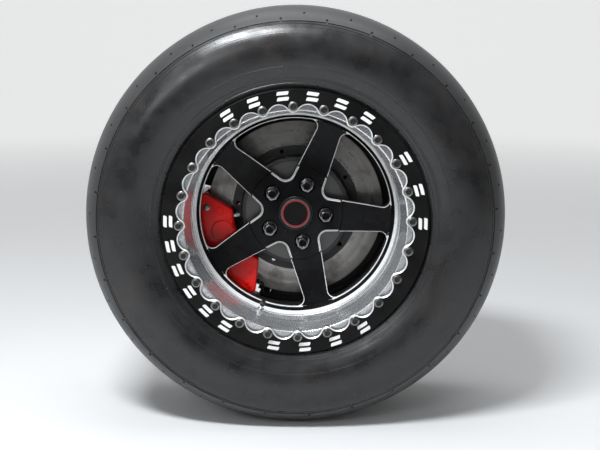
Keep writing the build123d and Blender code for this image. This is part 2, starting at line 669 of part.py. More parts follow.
# Brake disc: two cheeks joined by straight vanes, with tabs that bolt to the hat
hat_tab_places = PolarLocations(hat_tab_circle_r, HAT_TABS, start_angle=SPOKE_ANGLE)
hat_flange_back = disc_front + HAT_FLANGE
tab_bridge = disc_inner_r + TAB_OVERLAP - hat_tab_circle_r
with BuildPart() as brake_disc:
    for cheek_back in (disc_front + CHEEK, disc_back):
        with BuildSketch(wheel_plane(cheek_back)):
            Circle(DISC_R)
            Circle(disc_inner_r, mode=Mode.SUBTRACT)
        extrude(amount=CHEEK)
    front_and_back = brake_disc.faces().sort_by(Axis.Y)
    chamfer(at_radius(front_and_back[0].edges() + front_and_back[-1].edges(), DISC_R), length=DISC_EDGE)
    with BuildSketch(wheel_plane(disc_back - CHEEK)):
        with PolarLocations((DISC_R + disc_inner_r) / 2, VANES):
            Rectangle(DISC_R - disc_inner_r - 2 * VANE_INSET, VANE_THICK)
    extrude(amount=DISC_THICK - 2 * CHEEK)
    with BuildSketch(wheel_plane(hat_flange_back + FIT + HAT_TAB_THICK)):
        with hat_tab_places:
            Circle(HAT_TAB_R)
            Rectangle(tab_bridge, 2 * HAT_TAB_R, align=(Align.MIN, Align.CENTER))
        with hat_tab_places:
            Circle(HAT_BOLT_R + BOLT_FIT, mode=Mode.SUBTRACT)
    extrude(amount=HAT_TAB_THICK)
brake_disc.part.label = "brake_disc"
export_step(brake_disc.part, "parts/brake_disc.step")

# Disc hat: a drum that carries the disc, clamped between the hub and the wheel centre
with BuildPart() as disc_hat:
    with BuildSketch(section_plane):
        with BuildLine():
            section(
                (hat_seat, PILOT_R, 0),
                (hat_seat, hat_r, HAT_EDGE),
                (disc_front, hat_r, HAT_EDGE / 2),
                (disc_front, disc_inner_r - FIT, 0),
                (hat_flange_back, disc_inner_r - FIT, 0),
                (hat_flange_back, hat_r - HAT_WALL, 0),
                (hat_seat + HAT_FACE, hat_r - HAT_WALL, HAT_EDGE / 2),
                (hat_seat + HAT_FACE, PILOT_R, 0),
            )
        make_face()
    revolve(axis=spin_axis)
    with BuildSketch(wheel_plane(hat_flange_back)):
        with hat_tab_places:
            Circle(HAT_BOLT_R + BOLT_FIT)
        with lug_places:
            Circle(STUD_R + BOLT_FIT)
    extrude(amount=hat_flange_back - hat_seat, mode=Mode.SUBTRACT)
disc_hat.part.label = "disc_hat"
export_step(disc_hat.part, "parts/disc_hat.step")

# Hub: flange with a pilot nose in front and the bearing journal behind
nose_station = MOUNT_STATION - PILOT_DEPTH + NOSE_SHORT
journal_end = bearing_back - NOSE_SHORT
spline_front = journal_end - SPLINE_LENGTH
with BuildPart() as wheel_hub:
    with BuildSketch(section_plane):
        with BuildLine():
            section(
                (nose_station, NUT_POCKET_R, 0),
                (nose_station, PILOT_R - FIT, 1),
                (hub_face, PILOT_R - FIT, 0),
                (hub_face, hub_flange_r, 1),
                (hub_back, hub_flange_r, 1),
                (hub_back, JOURNAL_R, HUB_BEARING_GAP / 2),
                (journal_end, JOURNAL_R, 1),
                (journal_end, SPLINE_BORE_R, 0),
                (spline_front, SPLINE_BORE_R, 0),
                (spline_front, NUT_POCKET_R, 0),
            )
        make_face()
    revolve(axis=spin_axis)
    with BuildSketch(wheel_plane(hub_back)):
        with lug_places:
            Circle(STUD_R + FIT)
    extrude(amount=HUB_FLANGE, mode=Mode.SUBTRACT)
wheel_hub.part.label = "wheel_hub"
export_step(wheel_hub.part, "parts/wheel_hub.step")

# Hub bearing: the fixed outer ring, with a flange that bolts to the knuckle
bearing_bolt_places = PolarLocations(bearing_bolt_circle_r, BEARING_BOLTS, start_angle=45)
bearing_flange_front = bearing_flange_back - BEARING_FLANGE
with BuildPart() as hub_bearing:
    with BuildSketch(section_plane):
        with BuildLine():
            section(
                (bearing_front, JOURNAL_R + RUNNING_FIT, 0),
                (bearing_front, bearing_r, 1),
                (bearing_flange_front, bearing_r, 2),
                (bearing_flange_front, bearing_flange_r, 1),
                (bearing_flange_back, bearing_flange_r, 0),
                (bearing_flange_back, bearing_r, 0),
                (bearing_back, bearing_r, 1),
                (bearing_back, JOURNAL_R + RUNNING_FIT, 0),
            )
        make_face()
    revolve(axis=spin_axis)
    with BuildSketch(wheel_plane(bearing_flange_back)):
        with bearing_bolt_places:
            Circle(BEARING_BOLT_R + FIT)
    extrude(amount=BEARING_FLANGE, mode=Mode.SUBTRACT)
hub_bearing.part.label = "hub_bearing"
export_step(hub_bearing.part, "parts/hub_bearing.step")

# Dust shield: a thin dish between bearing and knuckle, open where the caliper sits
shield_back = shield_front + SHIELD_THICK
with BuildPart() as dust_shield:
    with BuildSketch(section_plane):
        with BuildLine():
            section(
                (shield_seat, bearing_r + FIT, 0),
                (shield_seat, knuckle_r + SHIELD_TURN, SHIELD_TURN),
                (shield_back, shield_cone_r, SHIELD_TURN),
                (shield_back, shield_r - SHIELD_THICK, 0),
                (shield_front + SHIELD_LIP, shield_r - SHIELD_THICK, 0),
                (shield_front + SHIELD_LIP, shield_r, 0),
                (shield_front, shield_r, SHIELD_THICK),
                (shield_front, shield_cone_r - 1, SHIELD_TURN),
                (shield_seat - SHIELD_THICK, knuckle_r + SHIELD_TURN - 1, SHIELD_TURN),
                (shield_seat - SHIELD_THICK, bearing_r + FIT, 0),
            )
        make_face()
    revolve(axis=spin_axis)
    with BuildSketch(wheel_plane(shield_seat)):
        with BuildLine():
            sector(
                shield_cone_r + SHIELD_TURN,
                shield_r + SHIELD_TURN,
                CALIPER_ANGLE + (SHIELD_PIPE_GAP - SHIELD_TOP_GAP) / 2,
                CALIPER_SPAN + SHIELD_TOP_GAP + SHIELD_PIPE_GAP,
            )
        make_face()
    extrude(amount=SHIELD_DISH, mode=Mode.SUBTRACT)
    with BuildSketch(wheel_plane(shield_seat)):
        with bearing_bolt_places:
            Circle(BEARING_BOLT_R + BOLT_FIT)
    extrude(amount=SHIELD_THICK, mode=Mode.SUBTRACT)
dust_shield.part.label = "dust_shield"
export_step(dust_shield.part, "parts/dust_shield.step")

# Knuckle: a ring round the bearing with arms to the link bores and the caliper's ears
ear_angles = (CALIPER_ANGLE - EAR_SPREAD, CALIPER_ANGLE + EAR_SPREAD)
boss_axes = [
    # place in the wheel plane, axis of the bore, boss radius, boss length, bore radius
    ((0, -SPIN_HEIGHT), (1, 0, 0), LOWER_BOSS_R, LOWER_BOSS_LENGTH, LOWER_BORE_R),
    ((0, UPPER_REACH), (1, 0, 0), UPPER_BOSS_R, UPPER_BOSS_LENGTH, LINK_BORE_R),
    ((TOE_REACH, -TOE_DROP), (0, 0, 1), LINK_BOSS_R, LINK_BOSS_LENGTH, LINK_BORE_R),
    ((-FRONT_REACH, FRONT_RISE), (0, 0, 1), LINK_BOSS_R, LINK_BOSS_LENGTH, LINK_BORE_R),
    ((DAMPER_REACH, -DAMPER_DROP), (0, 1, 0), LINK_BOSS_R, DAMPER_BOSS_LENGTH, LINK_BORE_R),
]
with BuildPart() as knuckle:
    with BuildSketch(wheel_plane(knuckle_back)):
        Circle(knuckle_r)
    extrude(amount=KNUCKLE_DEPTH)
    for place, axis, boss_r, length, bore_r in boss_axes:
        with BuildSketch(wheel_plane(arm_station - ARM_SHIFT)):
            Circle(ARM_ROOT_R)
            with Locations(place):
                Circle(boss_r - ARM_NARROW)
            make_hull()
        extrude(amount=ARM_THICK / 2, both=True)
    for angle in ear_angles:
        with BuildSketch(wheel_plane(knuckle_back)):
            Circle(EAR_ROOT_R)
            with Locations(polar(ear_circle_r, angle)):
                Circle(EAR_R)
            make_hull()
        extrude(amount=knuckle_back - caliper_back - FIT)
    for place, axis, boss_r, length, bore_r in boss_axes:
        middle = wheel_plane(arm_station).from_local_coords((*place, 0))
        with BuildSketch(Plane(middle, z_dir=axis)):
            Circle(boss_r)
        extrude(amount=length / 2, both=True)
    for place, axis, boss_r, length, bore_r in boss_axes:
        middle = wheel_plane(arm_station).from_local_coords((*place, 0))
        with BuildSketch(Plane(middle, z_dir=axis)):
            Circle(bore_r)
        extrude(amount=length / 2 + 1, both=True, mode=Mode.SUBTRACT)
    with BuildSketch(wheel_plane(knuckle_back + BACK_ROOM)):
        Circle(bearing_r - SHAFT_ROOM)
    extrude(amount=KNUCKLE_DEPTH + BACK_ROOM, mode=Mode.SUBTRACT)
    with BuildSketch(wheel_plane(bearing_back + FIT)):
        Circle(bearing_r + FIT)
    extrude(amount=KNUCKLE_DEPTH, mode=Mode.SUBTRACT)
    with BuildSketch(wheel_plane(knuckle_back + BACK_ROOM)):
        with bearing_bolt_places:
            Circle(BEARING_BOLT_HEAD_R + HEAD_ROOM)
    extrude(amount=BACK_ROOM, mode=Mode.SUBTRACT)
    with BuildSketch(wheel_plane(knuckle_back)):
        with bearing_bolt_places:
            Circle(BEARING_BOLT_R + BOLT_FIT)
        for angle in ear_angles:
            with Locations(polar(ear_circle_r, angle)):
                Circle(EAR_BOLT_R + BOLT_FIT)
    extrude(amount=KNUCKLE_DEPTH, mode=Mode.SUBTRACT)
knuckle.part.label = "knuckle"
export_step(knuckle.part, "parts/knuckle.step")

# Bearing bolts: from behind the knuckle into the bearing flange
with BuildPart() as bearing_bolts:
    with BuildSketch(wheel_plane(knuckle_back)):
        with bearing_bolt_places:
            Circle(BEARING_BOLT_R)
    extrude(amount=knuckle_back - bearing_flange_front)
    with BuildSketch(wheel_plane(knuckle_back + BEARING_BOLT_HEAD)):
        with bearing_bolt_places:
            RegularPolygon(BEARING_BOLT_HEAD_R, 6)
    extrude(amount=BEARING_BOLT_HEAD)
bearing_bolts.part.label = "bearing_bolts"
export_step(bearing_bolts.part, "parts/bearing_bolts.step")

# Caliper: two halves that meet over the disc, open in the middle over the pads
caliper_bolt_r = (bridge_r + caliper_outer_r) / 2
bolt_spread = (CALIPER_SPAN - BRIDGE_SPAN) / 2
bolt_angles = (CALIPER_ANGLE - bolt_spread, CALIPER_ANGLE + bolt_spread)
boss_r = (pad_inner_r + pad_outer_r) / 2
outer_pad_back = disc_front - PAD_GAP
inner_pad_front = disc_back + PAD_GAP
bolt_holes = [Location((*polar(caliper_bolt_r, angle), 0)) for angle in bolt_angles]
ear_holes = [Location((*polar(ear_circle_r, angle), 0)) for angle in ear_angles]
with BuildSketch() as caliper_outline:
    with BuildLine():
        outer_arc = CenterArc((0, 0), caliper_outer_r, CALIPER_ANGLE - CALIPER_SPAN / 2, CALIPER_SPAN)
        inner_start = CALIPER_ANGLE - CALIPER_INNER_SPAN / 2
        inner_arc = CenterArc((0, 0), caliper_inner_r, inner_start, CALIPER_INNER_SPAN)
        Line(inner_arc @ 0, outer_arc @ 0)
        Line(inner_arc @ 1, outer_arc @ 1)
    make_face()
    fillet(caliper_outline.vertices(), radius=CALIPER_CORNER)
with BuildSketch() as caliper_ends:
    add(caliper_outline.sketch)
    with BuildLine():
        sector(CAP_BORE_R, caliper_outer_r + BOSS_EDGE, CALIPER_ANGLE, PAD_SPAN + 2 * PAD_ROOM)
    make_face(mode=Mode.SUBTRACT)
with BuildSketch() as caliper_bridges:
    add(caliper_outline.sketch)
    Circle(bridge_r, mode=Mode.SUBTRACT)
    with BuildLine():
        open_span = CALIPER_SPAN - 2 * BRIDGE_SPAN
        sector(caliper_inner_r, caliper_outer_r + BOSS_EDGE, CALIPER_ANGLE, open_span)
    make_face(mode=Mode.SUBTRACT)
with BuildPart() as caliper_outer:
    with BuildSketch(wheel_plane(outer_wall)):
        add(caliper_outline.sketch)
    extrude(amount=CALIPER_CHEEK)
    fillet(caliper_outer.faces().sort_by(Axis.Y)[0].edges(), radius=CALIPER_EDGE)
    with BuildSketch(wheel_plane(outer_wall)):
        with PolarLocations(boss_r, 2, CALIPER_ANGLE - PISTON_SPREAD / 2, PISTON_SPREAD, endpoint=True):
            Circle(PISTON_BOSS_R)
        with PolarLocations(boss_r, 2, CALIPER_ANGLE - END_BOSS_SPREAD / 2, END_BOSS_SPREAD, endpoint=True):
            Circle(END_BOSS_R)
    extrude(amount=CALIPER_CHEEK + BOSS_RISE)
    fillet(caliper_outer.faces().group_by(Axis.Y)[0].edges(), radius=BOSS_EDGE)
    with BuildSketch(wheel_plane(disc_front - DISC_CLEARANCE)):
        add(caliper_ends.sketch)
    extrude(amount=disc_front - DISC_CLEARANCE - outer_wall)
    with BuildSketch(wheel_plane(disc_middle - FIT / 2)):
        add(caliper_bridges.sketch)
    extrude(amount=disc_middle - FIT / 2 - outer_wall)
    with BuildSketch(wheel_plane(disc_middle)):
        with Locations(*bolt_holes):
            Circle(CALIPER_BOLT_R + FIT)
    extrude(amount=disc_middle - caliper_front - BOLT_COVER, mode=Mode.SUBTRACT)
    with BuildSketch(wheel_plane(outer_wall)):
        with Locations(polar(pin_circle_r, CALIPER_ANGLE)):
            Circle(PIN_R + FIT)
    extrude(amount=PIN_HOLE, mode=Mode.SUBTRACT)
caliper_outer.part.label = "caliper_outer"
export_step(caliper_outer.part, "parts/caliper_outer.step")

with BuildPart() as caliper_inner:
    with BuildSketch(wheel_plane(caliper_back)):
        add(caliper_outline.sketch)
    extrude(amount=CALIPER_CHEEK)
    fillet(caliper_inner.faces().sort_by(Axis.Y)[-1].edges(), radius=CALIPER_BACK_EDGE)
    for side in (-1, 1):
        with BuildSketch(wheel_plane(caliper_back)):
            with Locations(polar(ear_circle_r, CALIPER_ANGLE + side * EAR_SPREAD)):
                Circle(EAR_R)
            with Locations(polar(ear_join_r, CALIPER_ANGLE + side * EAR_JOIN_SPREAD)):
                Circle(EAR_R)
            make_hull()
        extrude(amount=CALIPER_CHEEK)
    with BuildSketch(wheel_plane(inner_wall)):
        add(caliper_ends.sketch)
    extrude(amount=inner_wall - disc_back - DISC_CLEARANCE)
    with BuildSketch(wheel_plane(inner_wall)):
        add(caliper_bridges.sketch)
    extrude(amount=inner_wall - disc_middle - FIT / 2)
    with BuildSketch(wheel_plane(caliper_back)):
        with Locations(*bolt_holes):
            Circle(CALIPER_BOLT_R + BOLT_FIT)
        with Locations(*ear_holes):
            Circle(EAR_BOLT_R + BOLT_FIT)
        with Locations(polar(pin_circle_r, CALIPER_ANGLE)):
            Circle(PIN_R + FIT)
    extrude(amount=caliper_back - disc_middle, mode=Mode.SUBTRACT)
caliper_inner.part.label = "caliper_inner"
export_step(caliper_inner.part, "parts/caliper_inner.step")

# Caliper bolts: join the halves, and hold the caliper's ears to the knuckle
with BuildPart() as caliper_bolts:
    with BuildSketch(wheel_plane(caliper_back)):
        with Locations(*bolt_holes):
            Circle(CALIPER_BOLT_R)
    extrude(amount=caliper_back - caliper_front - BOLT_COVER - BOLT_SHORT)
    with BuildSketch(wheel_plane(caliper_back + CALIPER_BOLT_HEAD)):
        with Locations(*bolt_holes):
            Circle(CALIPER_BOLT_R + CALIPER_BOLT_RIM)
    extrude(amount=CALIPER_BOLT_HEAD)
    with BuildSketch(wheel_plane(knuckle_back)):
        with Locations(*ear_holes):
            Circle(EAR_BOLT_R)
    extrude(amount=knuckle_back - inner_wall)
    with BuildSketch(wheel_plane(knuckle_back + EAR_BOLT_HEAD)):
        with Locations(*ear_holes):
            RegularPolygon(EAR_BOLT_HEAD_R, 6)
    extrude(amount=EAR_BOLT_HEAD)
caliper_bolts.part.label = "caliper_bolts"
export_step(caliper_bolts.part, "parts/caliper_bolts.step")

# Brake pads: a backing plate with an ear for the pin, and the lining
for side, plate_back, lining_back in (
    ("outer", outer_pad_back - PAD_DEPTH + PAD_PLATE, outer_pad_back),
    ("inner", inner_pad_front + PAD_DEPTH, inner_pad_front + PAD_DEPTH - PAD_PLATE),
):
    with BuildPart() as pad:
        with BuildSketch(wheel_plane(plate_back)) as plate:
            with BuildLine():
                sector(pad_inner_r, pad_outer_r, CALIPER_ANGLE, PAD_SPAN)
            make_face()
            fillet(plate.vertices(), radius=PAD_CORNER)
            with BuildLine():
                ear_top_r = pin_circle_r + PAD_EAR_RISE
                sector(pad_outer_r - PAD_EDGE, ear_top_r, CALIPER_ANGLE, PAD_EAR_SPAN)
            make_face()
            with Locations(polar(pin_circle_r, CALIPER_ANGLE)):
                Circle(PIN_R + FIT, mode=Mode.SUBTRACT)
        extrude(amount=PAD_PLATE)
        with BuildSketch(wheel_plane(lining_back)) as lining:
            with BuildLine():
                lining_span = PAD_SPAN - PAD_EDGE
                sector(pad_inner_r + PAD_EDGE, pad_outer_r - PAD_EDGE, CALIPER_ANGLE, lining_span)
            make_face()
            fillet(lining.vertices(), radius=PAD_CORNER)
        extrude(amount=PAD_DEPTH - PAD_PLATE)
    pad.part.label = "pad_" + side
    export_step(pad.part, "parts/pad_" + side + ".step")

# Pad pin: through both halves and both pads
with BuildPart() as pad_pin:
    with BuildSketch(wheel_plane(caliper_back)):
        with Locations(polar(pin_circle_r, CALIPER_ANGLE)):
            Circle(PIN_R)
    extrude(amount=caliper_back - outer_wall + PIN_HOLE - BOLT_SHORT)
pad_pin.part.label = "pad_pin"
export_step(pad_pin.part, "parts/pad_pin.step")

# Bleeder: a nipple on the inner edge of the outer half
bleeder_angle = CALIPER_ANGLE - BLEEDER_SPREAD
bleeder_station = (caliper_front + outer_wall) / 2
bleeder_foot = (*polar(caliper_inner_r - FIT, bleeder_angle), 0)
bleeder_way = (*polar(-1, bleeder_angle), 0)
bleeder_plane = Plane(
    wheel_plane(bleeder_station).from_local_coords(bleeder_foot),
    z_dir=wheel_plane(0).from_local_coords(bleeder_way) - wheel_plane(0).origin,
)
with BuildPart() as bleeder:
    with BuildSketch(bleeder_plane):
        Circle(BLEEDER_R)
    extrude(amount=BLEEDER_HEIGHT)
    with BuildSketch(bleeder_plane.offset(BLEEDER_HEX_HEIGHT / 2)):
        RegularPolygon(BLEEDER_HEX / 2, 6, major_radius=False)
    extrude(amount=BLEEDER_HEX_HEIGHT)
bleeder.part.label = "bleeder"
export_step(bleeder.part, "parts/bleeder.step")

# Crossover pipe: carries fluid over the disc from one half to the other
end_in = Vector(*polar(caliper_inner_r, CALIPER_ANGLE + CALIPER_INNER_SPAN / 2))
end_out = Vector(*polar(caliper_outer_r, CALIPER_ANGLE + CALIPER_SPAN / 2))
end_way = (end_out - end_in).normalized()
pipe_way = Vector(-end_way.Y, end_way.X)
pipe_foot = end_in + (end_out - end_in) * PIPE_PLACE
pipe_turn = pipe_foot + pipe_way * PIPE_STAND
pipe_top = end_out + pipe_way * PIPE_STAND
pipe_front = wheel_plane(bleeder_station)
pipe_back = wheel_plane((caliper_back + inner_wall) / 2)
with BuildPart() as crossover_pipe:
    with BuildLine():
        route = FilletPolyline(
            pipe_front.from_local_coords(pipe_foot + pipe_way * FIT),
            pipe_front.from_local_coords(pipe_turn),
            pipe_front.from_local_coords(pipe_top),
            pipe_back.from_local_coords(pipe_top),
            pipe_back.from_local_coords(pipe_turn),
            pipe_back.from_local_coords(pipe_foot + pipe_way * FIT),
            radius=PIPE_BEND_R,
        )
    with BuildSketch(Plane(route @ 0, z_dir=route % 0)):
        Circle(PIPE_R)
    sweep()
    for foot_plane in (pipe_front, pipe_back):
        union = Plane(
            foot_plane.from_local_coords(pipe_foot + pipe_way * FIT),
            z_dir=foot_plane.from_local_coords(pipe_way) - foot_plane.origin,
        )
        with BuildSketch(union):
            RegularPolygon(PIPE_NUT_R, 6)
        extrude(amount=PIPE_NUT_LENGTH)
crossover_pipe.part.label = "crossover_pipe"
export_step(crossover_pipe.part, "parts/crossover_pipe.step")
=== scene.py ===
from math import atan2, cos, degrees, hypot, pi, radians, sin

import bmesh
import bpy
from mathutils import Matrix, Vector


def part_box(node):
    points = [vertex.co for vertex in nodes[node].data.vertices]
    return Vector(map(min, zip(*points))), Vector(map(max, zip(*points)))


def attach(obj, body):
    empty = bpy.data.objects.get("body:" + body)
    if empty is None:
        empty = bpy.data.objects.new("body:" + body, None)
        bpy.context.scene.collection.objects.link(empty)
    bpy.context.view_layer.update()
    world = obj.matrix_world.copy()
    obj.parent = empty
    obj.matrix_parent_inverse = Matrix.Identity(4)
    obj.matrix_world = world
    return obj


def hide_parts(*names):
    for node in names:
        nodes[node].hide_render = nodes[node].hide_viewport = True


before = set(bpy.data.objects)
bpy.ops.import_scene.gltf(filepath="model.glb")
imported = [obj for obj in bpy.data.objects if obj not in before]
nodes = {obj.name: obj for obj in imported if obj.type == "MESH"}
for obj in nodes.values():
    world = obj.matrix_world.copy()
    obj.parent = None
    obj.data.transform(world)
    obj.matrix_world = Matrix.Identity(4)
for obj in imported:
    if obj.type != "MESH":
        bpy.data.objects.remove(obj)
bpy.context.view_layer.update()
print("frame loaded:", len(nodes), "pieces")

# The wheel turns about a line along Y. Depths are measured back from the front face of the
# beadlock ring, radii from the wheel's axis, and angles from +X towards +Z, in degrees.
ringLow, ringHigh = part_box("beadlock_ring")
ringFront = ringLow.y
axisHeight = (ringLow.z + ringHigh.z) / 2
wheelAxis = Vector((0, 1, 0))
wheelCentre = Vector((0, ringFront, axisHeight))
tyreLow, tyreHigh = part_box("tyre")
tyreRadius = (tyreHigh.z - tyreLow.z) / 2
tyreMiddle = (tyreLow.y + tyreHigh.y) / 2 - ringFront
bulgeDepth = tyreLow.y - ringFront
floorHeight = tyreLow.z
spokeStep = 72
lugAngles = [-4.3 + spokeStep * spoke for spoke in range(5)]
sameSpot = 1e-5  # vertices this near to each other are one
hairline = 0.00005  # margin where heights or radii are compared


def onWheel(radius, angle, depth):
    # point at a radius, an angle and a depth
    turn = radians(angle)
    return Vector((radius * cos(turn), ringFront + depth, axisHeight + radius * sin(turn)))


def wheelMatrix(radius, angle, depth, spin=0):
    # local Z points outwards, away from the car, local Y away from the axis, and then the spin
    # turns the two about local Z
    turn = Matrix.Rotation(radians(90 - angle), 4, wheelAxis)
    face = Matrix.Rotation(radians(90), 4, "X") @ Matrix.Rotation(radians(spin), 4, "Z")
    return Matrix.Translation(onWheel(radius, angle, depth)) @ turn @ face


def inwardMatrix(radius, angle, depth, lean=0):
    # local Z points towards the axis, tilted outwards by the lean
    inward = onWheel(0, angle, 0) - onWheel(1, angle, 0)
    way = inward * cos(radians(lean)) - wheelAxis * sin(radians(lean))
    matrix = Matrix.Translation(onWheel(radius, angle, depth))
    return matrix @ way.to_track_quat("Z", "Y").to_matrix().to_4x4()


def onlyVerts(geom):
    return [part for part in geom if isinstance(part, bmesh.types.BMVert)]


def onlyEdges(geom):
    return [part for part in geom if isinstance(part, bmesh.types.BMEdge)]


def allOf(bm):
    return bm.verts[:] + bm.edges[:] + bm.faces[:]


def joinSpots(bm, reach=sameSpot):
    bmesh.ops.remove_doubles(bm, verts=bm.verts[:], dist=reach)


def faceOutwards(bm):
    bmesh.ops.recalc_face_normals(bm, faces=bm.faces[:])


def drawSection(bm, start, moves):
    # draws a section above the axis from moves that hold a depth and a radius: "to" is a straight
    # run, "head" sets the direction, "arc" leaves in the present direction, in a number of steps,
    # and "into" is an arc that arrives in a given direction
    here = Vector(start)
    heading = Vector((1, 0))
    vert = bm.verts.new((0, ringFront + here.x, axisHeight + here.y))
    for move in moves:
        kind = move[0]
        goal = Vector(move[1:3])
        if kind == "head":
            heading = goal.normalized()
            continue
        chord = goal - here
        if kind == "to":
            vert = bmesh.ops.extrude_vert_indiv(bm, verts=[vert])["verts"][0]
            vert.co = (0, ringFront + goal.x, axisHeight + goal.y)
            heading = chord.normalized()
        else:
            if kind == "into":
                arrival = Vector(move[4:6])
                heading = 2 * arrival.dot(chord) / chord.length_squared * chord - arrival
            left = Vector((-heading.y, heading.x))
            middle = here + left * chord.length_squared / (2 * chord.dot(left))
            sweep = 2 * atan2(heading.x * chord.y - heading.y * chord.x, heading.dot(chord))
            arc = bmesh.ops.spin(
                bm,
                geom=[vert],
                cent=(0, ringFront + middle.x, axisHeight + middle.y),
                axis=(1, 0, 0),
                angle=sweep,
                steps=move[3],
            )
            vert = onlyVerts(arc["geom_last"])[0]
            heading = Matrix.Rotation(sweep, 2) @ heading
        here = goal


def bevelShape(bm, geom, offset, segments, affect):
    bmesh.ops.bevel(
        bm, geom=geom, offset=offset, segments=segments, profile=0.5, affect=affect, material=-1
    )


def sweepSection(bm, start, moves, angles, steps):
    # closes a section and sweeps it round the wheel from one angle to another
    drawSection(bm, start, moves)
    bm.edges.new([v for v in bm.verts if len(v.link_edges) == 1])
    first = bmesh.ops.edgeloop_fill(bm, edges=bm.edges[:])["faces"]
    turn = Matrix.Rotation(radians(90 - angles[0]), 4, wheelAxis)
    bmesh.ops.rotate(bm, verts=bm.verts[:], cent=wheelCentre, matrix=turn)
    sweep = radians(angles[0] - angles[1])
    bmesh.ops.spin(bm, geom=first, cent=wheelCentre, axis=wheelAxis, angle=sweep, steps=steps)
    faceOutwards(bm)


def turnedShape(profile, steps, material=0):
    # a new shape, turned from a profile of radius and height about local Z
    bm = bmesh.new()
    verts = [bm.verts.new((radius, 0, height)) for radius, height in profile]
    geom = verts + [bm.edges.new(pair) for pair in zip(verts, verts[1:])]
    axis = (0, 0, 1)
    bmesh.ops.spin(bm, geom=geom, axis=axis, angle=2 * pi, steps=steps, use_merge=True)
    joinSpots(bm, 1e-6)
    faceOutwards(bm)
    for face in bm.faces:
        face.material_index = material
    return bm


def cutHexagon(bm, flats, low, high, slope=0.0):
    # brings what is round between two heights in to a hexagon, its top edge on a cone's slope
    for vert in bm.verts:
        reach = hypot(vert.co.x, vert.co.y)
        if low < vert.co.z < high and reach > flats / 2:
            turn = (degrees(atan2(vert.co.y, vert.co.x)) + 30) % 60 - 30
            limit = flats / 2 / cos(radians(turn))
            if reach > limit:
                vert.co.xy *= limit / reach
                if vert.co.z > high - 0.0001:
                    vert.co.z += (reach - limit) * slope


def paintInside(bm, radius, height=-1):
    # the faces of a recess or a bore take the second material, which paints them near black as
    # painted shade
    for face in bm.faces:
        centre = face.calc_center_median()
        if centre.z > height and hypot(centre.x, centre.y) < radius:
            face.material_index = 1


def placeCopies(bm, source, matrices):
    # adds a copy of a small shape at each place
    mesh = bpy.data.meshes.new("oneShape")
    source.to_mesh(mesh)
    source.free()
    for matrix in matrices:
        before = len(bm.verts)
        bm.from_mesh(mesh)
        bm.verts.ensure_lookup_table()
        bmesh.ops.transform(bm, matrix=matrix, verts=bm.verts[before:])
    bpy.data.meshes.remove(mesh)


def joinShapes(sources, matrices):
    # a new shape with each source at each place
    bm = bmesh.new()
    for source in sources:
        placeCopies(bm, source, matrices)
    return bm


def linkObject(name, data):
    made = bpy.data.objects.new(name, data)
    bpy.context.scene.collection.objects.link(made)
    return made


def meshObject(name, bm, finishNames):
    mesh = bpy.data.meshes.new(name)
    bm.to_mesh(mesh)
    bm.free()
    mesh.shade_smooth()
    for finish in finishNames:
        mesh.materials.append(bpy.data.materials[finish])
    return linkObject(name, mesh)


def makePiece(name, bm, body, finishNames, sharpAngle=35):
    piece = meshObject(name, bm, finishNames)
    piece.data.set_sharp_from_angle(angle=radians(sharpAngle))
    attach(piece, body)
    return piece


# Shader parts that several materials share. Each one joins the node tree of the socket, node or
# tree that it is given first.


def newGroup(name, inputs, outputs):
    group = bpy.data.node_groups.new(name, "ShaderNodeTree")
    for label, value in inputs:
        socket = group.interface.new_socket(name=label, in_out="INPUT", socket_type="NodeSocketFloat")
        socket.default_value = value
    for label in outputs:
        group.interface.new_socket(name=label, in_out="OUTPUT", socket_type="NodeSocketFloat")
    given = group.nodes.new("NodeGroupInput").outputs
    result = group.nodes.new("NodeGroupOutput").inputs
    return group, given, result


def feed(socket, value):
    # sets a socket to a number or a colour, or links it
    if isinstance(value, bpy.types.NodeSocket):
        socket.id_data.links.new(value, socket)
    elif isinstance(value, tuple):
        socket.default_value = (*value, 1)
    else:
        socket.default_value = value


def addNode(owner, kind, **inputs):
    node = owner.id_data.nodes.new("ShaderNode" + kind)
    for label, value in inputs.items():
        feed(node.inputs[label], value)
    return node


def addMath(first, operation, second=0.5):
    node = addNode(first, "Math")
    node.operation = operation
    for socket, value in zip(node.inputs, (first, second)):
        feed(socket, value)
    return node.outputs[0]


def product(first, *others):
    for other in others:
        first = addMath(first, "MULTIPLY", other)
    return first


def addNoise(vector, scale, detail=3.0, roughness=0.5):
    inputs = {"Vector": vector, "Scale": scale, "Detail": detail, "Roughness": roughness}
    return addNode(vector, "TexNoise", **inputs).outputs["Fac"]


def addRange(value, low, high, start=0.0, end=1.0):
    node = addNode(value, "MapRange")
    for socket, number in zip(node.inputs, (value, low, high, start, end)):
        feed(socket, number)
    return node.outputs[0]


def addBelow(value, edge):
    # one up to the edge's first number, and nothing from its second
    return addRange(value, *edge, 1.0, 0.0)


def addBand(value, low, high, soft):
    # one between low and high, falling to nothing over a soft edge
    return product(addRange(value, low - soft, low), addBelow(value, (high, high + soft)))


def addMix(mask, first, second):
    node = addNode(mask, "Mix")
    node.data_type = "RGBA"
    for label, value in zip(("Factor", "A", "B"), (mask, first, second)):
        feed(node.inputs[label], value)
    return node.outputs["Result"]


def joinVector(x, y, z=0.0):
    return addNode(x, "CombineXYZ", X=x, Y=y, Z=z).outputs[0]


def splitVector(vector):
    return addNode(vector, "SeparateXYZ", Vector=vector).outputs


def addCoordinates(owner):
    return addNode(owner, "TexCoord").outputs


def addMirrored(path):
    # one for rays that come by a reflection or through glass
    return addMath(path["Is Glossy Ray"], "MAXIMUM", path["Is Transmission Ray"])


def grey(value):
    return (value, value, value)


patchEdges = (0.35, 0.65)  # values of a noise between which its patches change


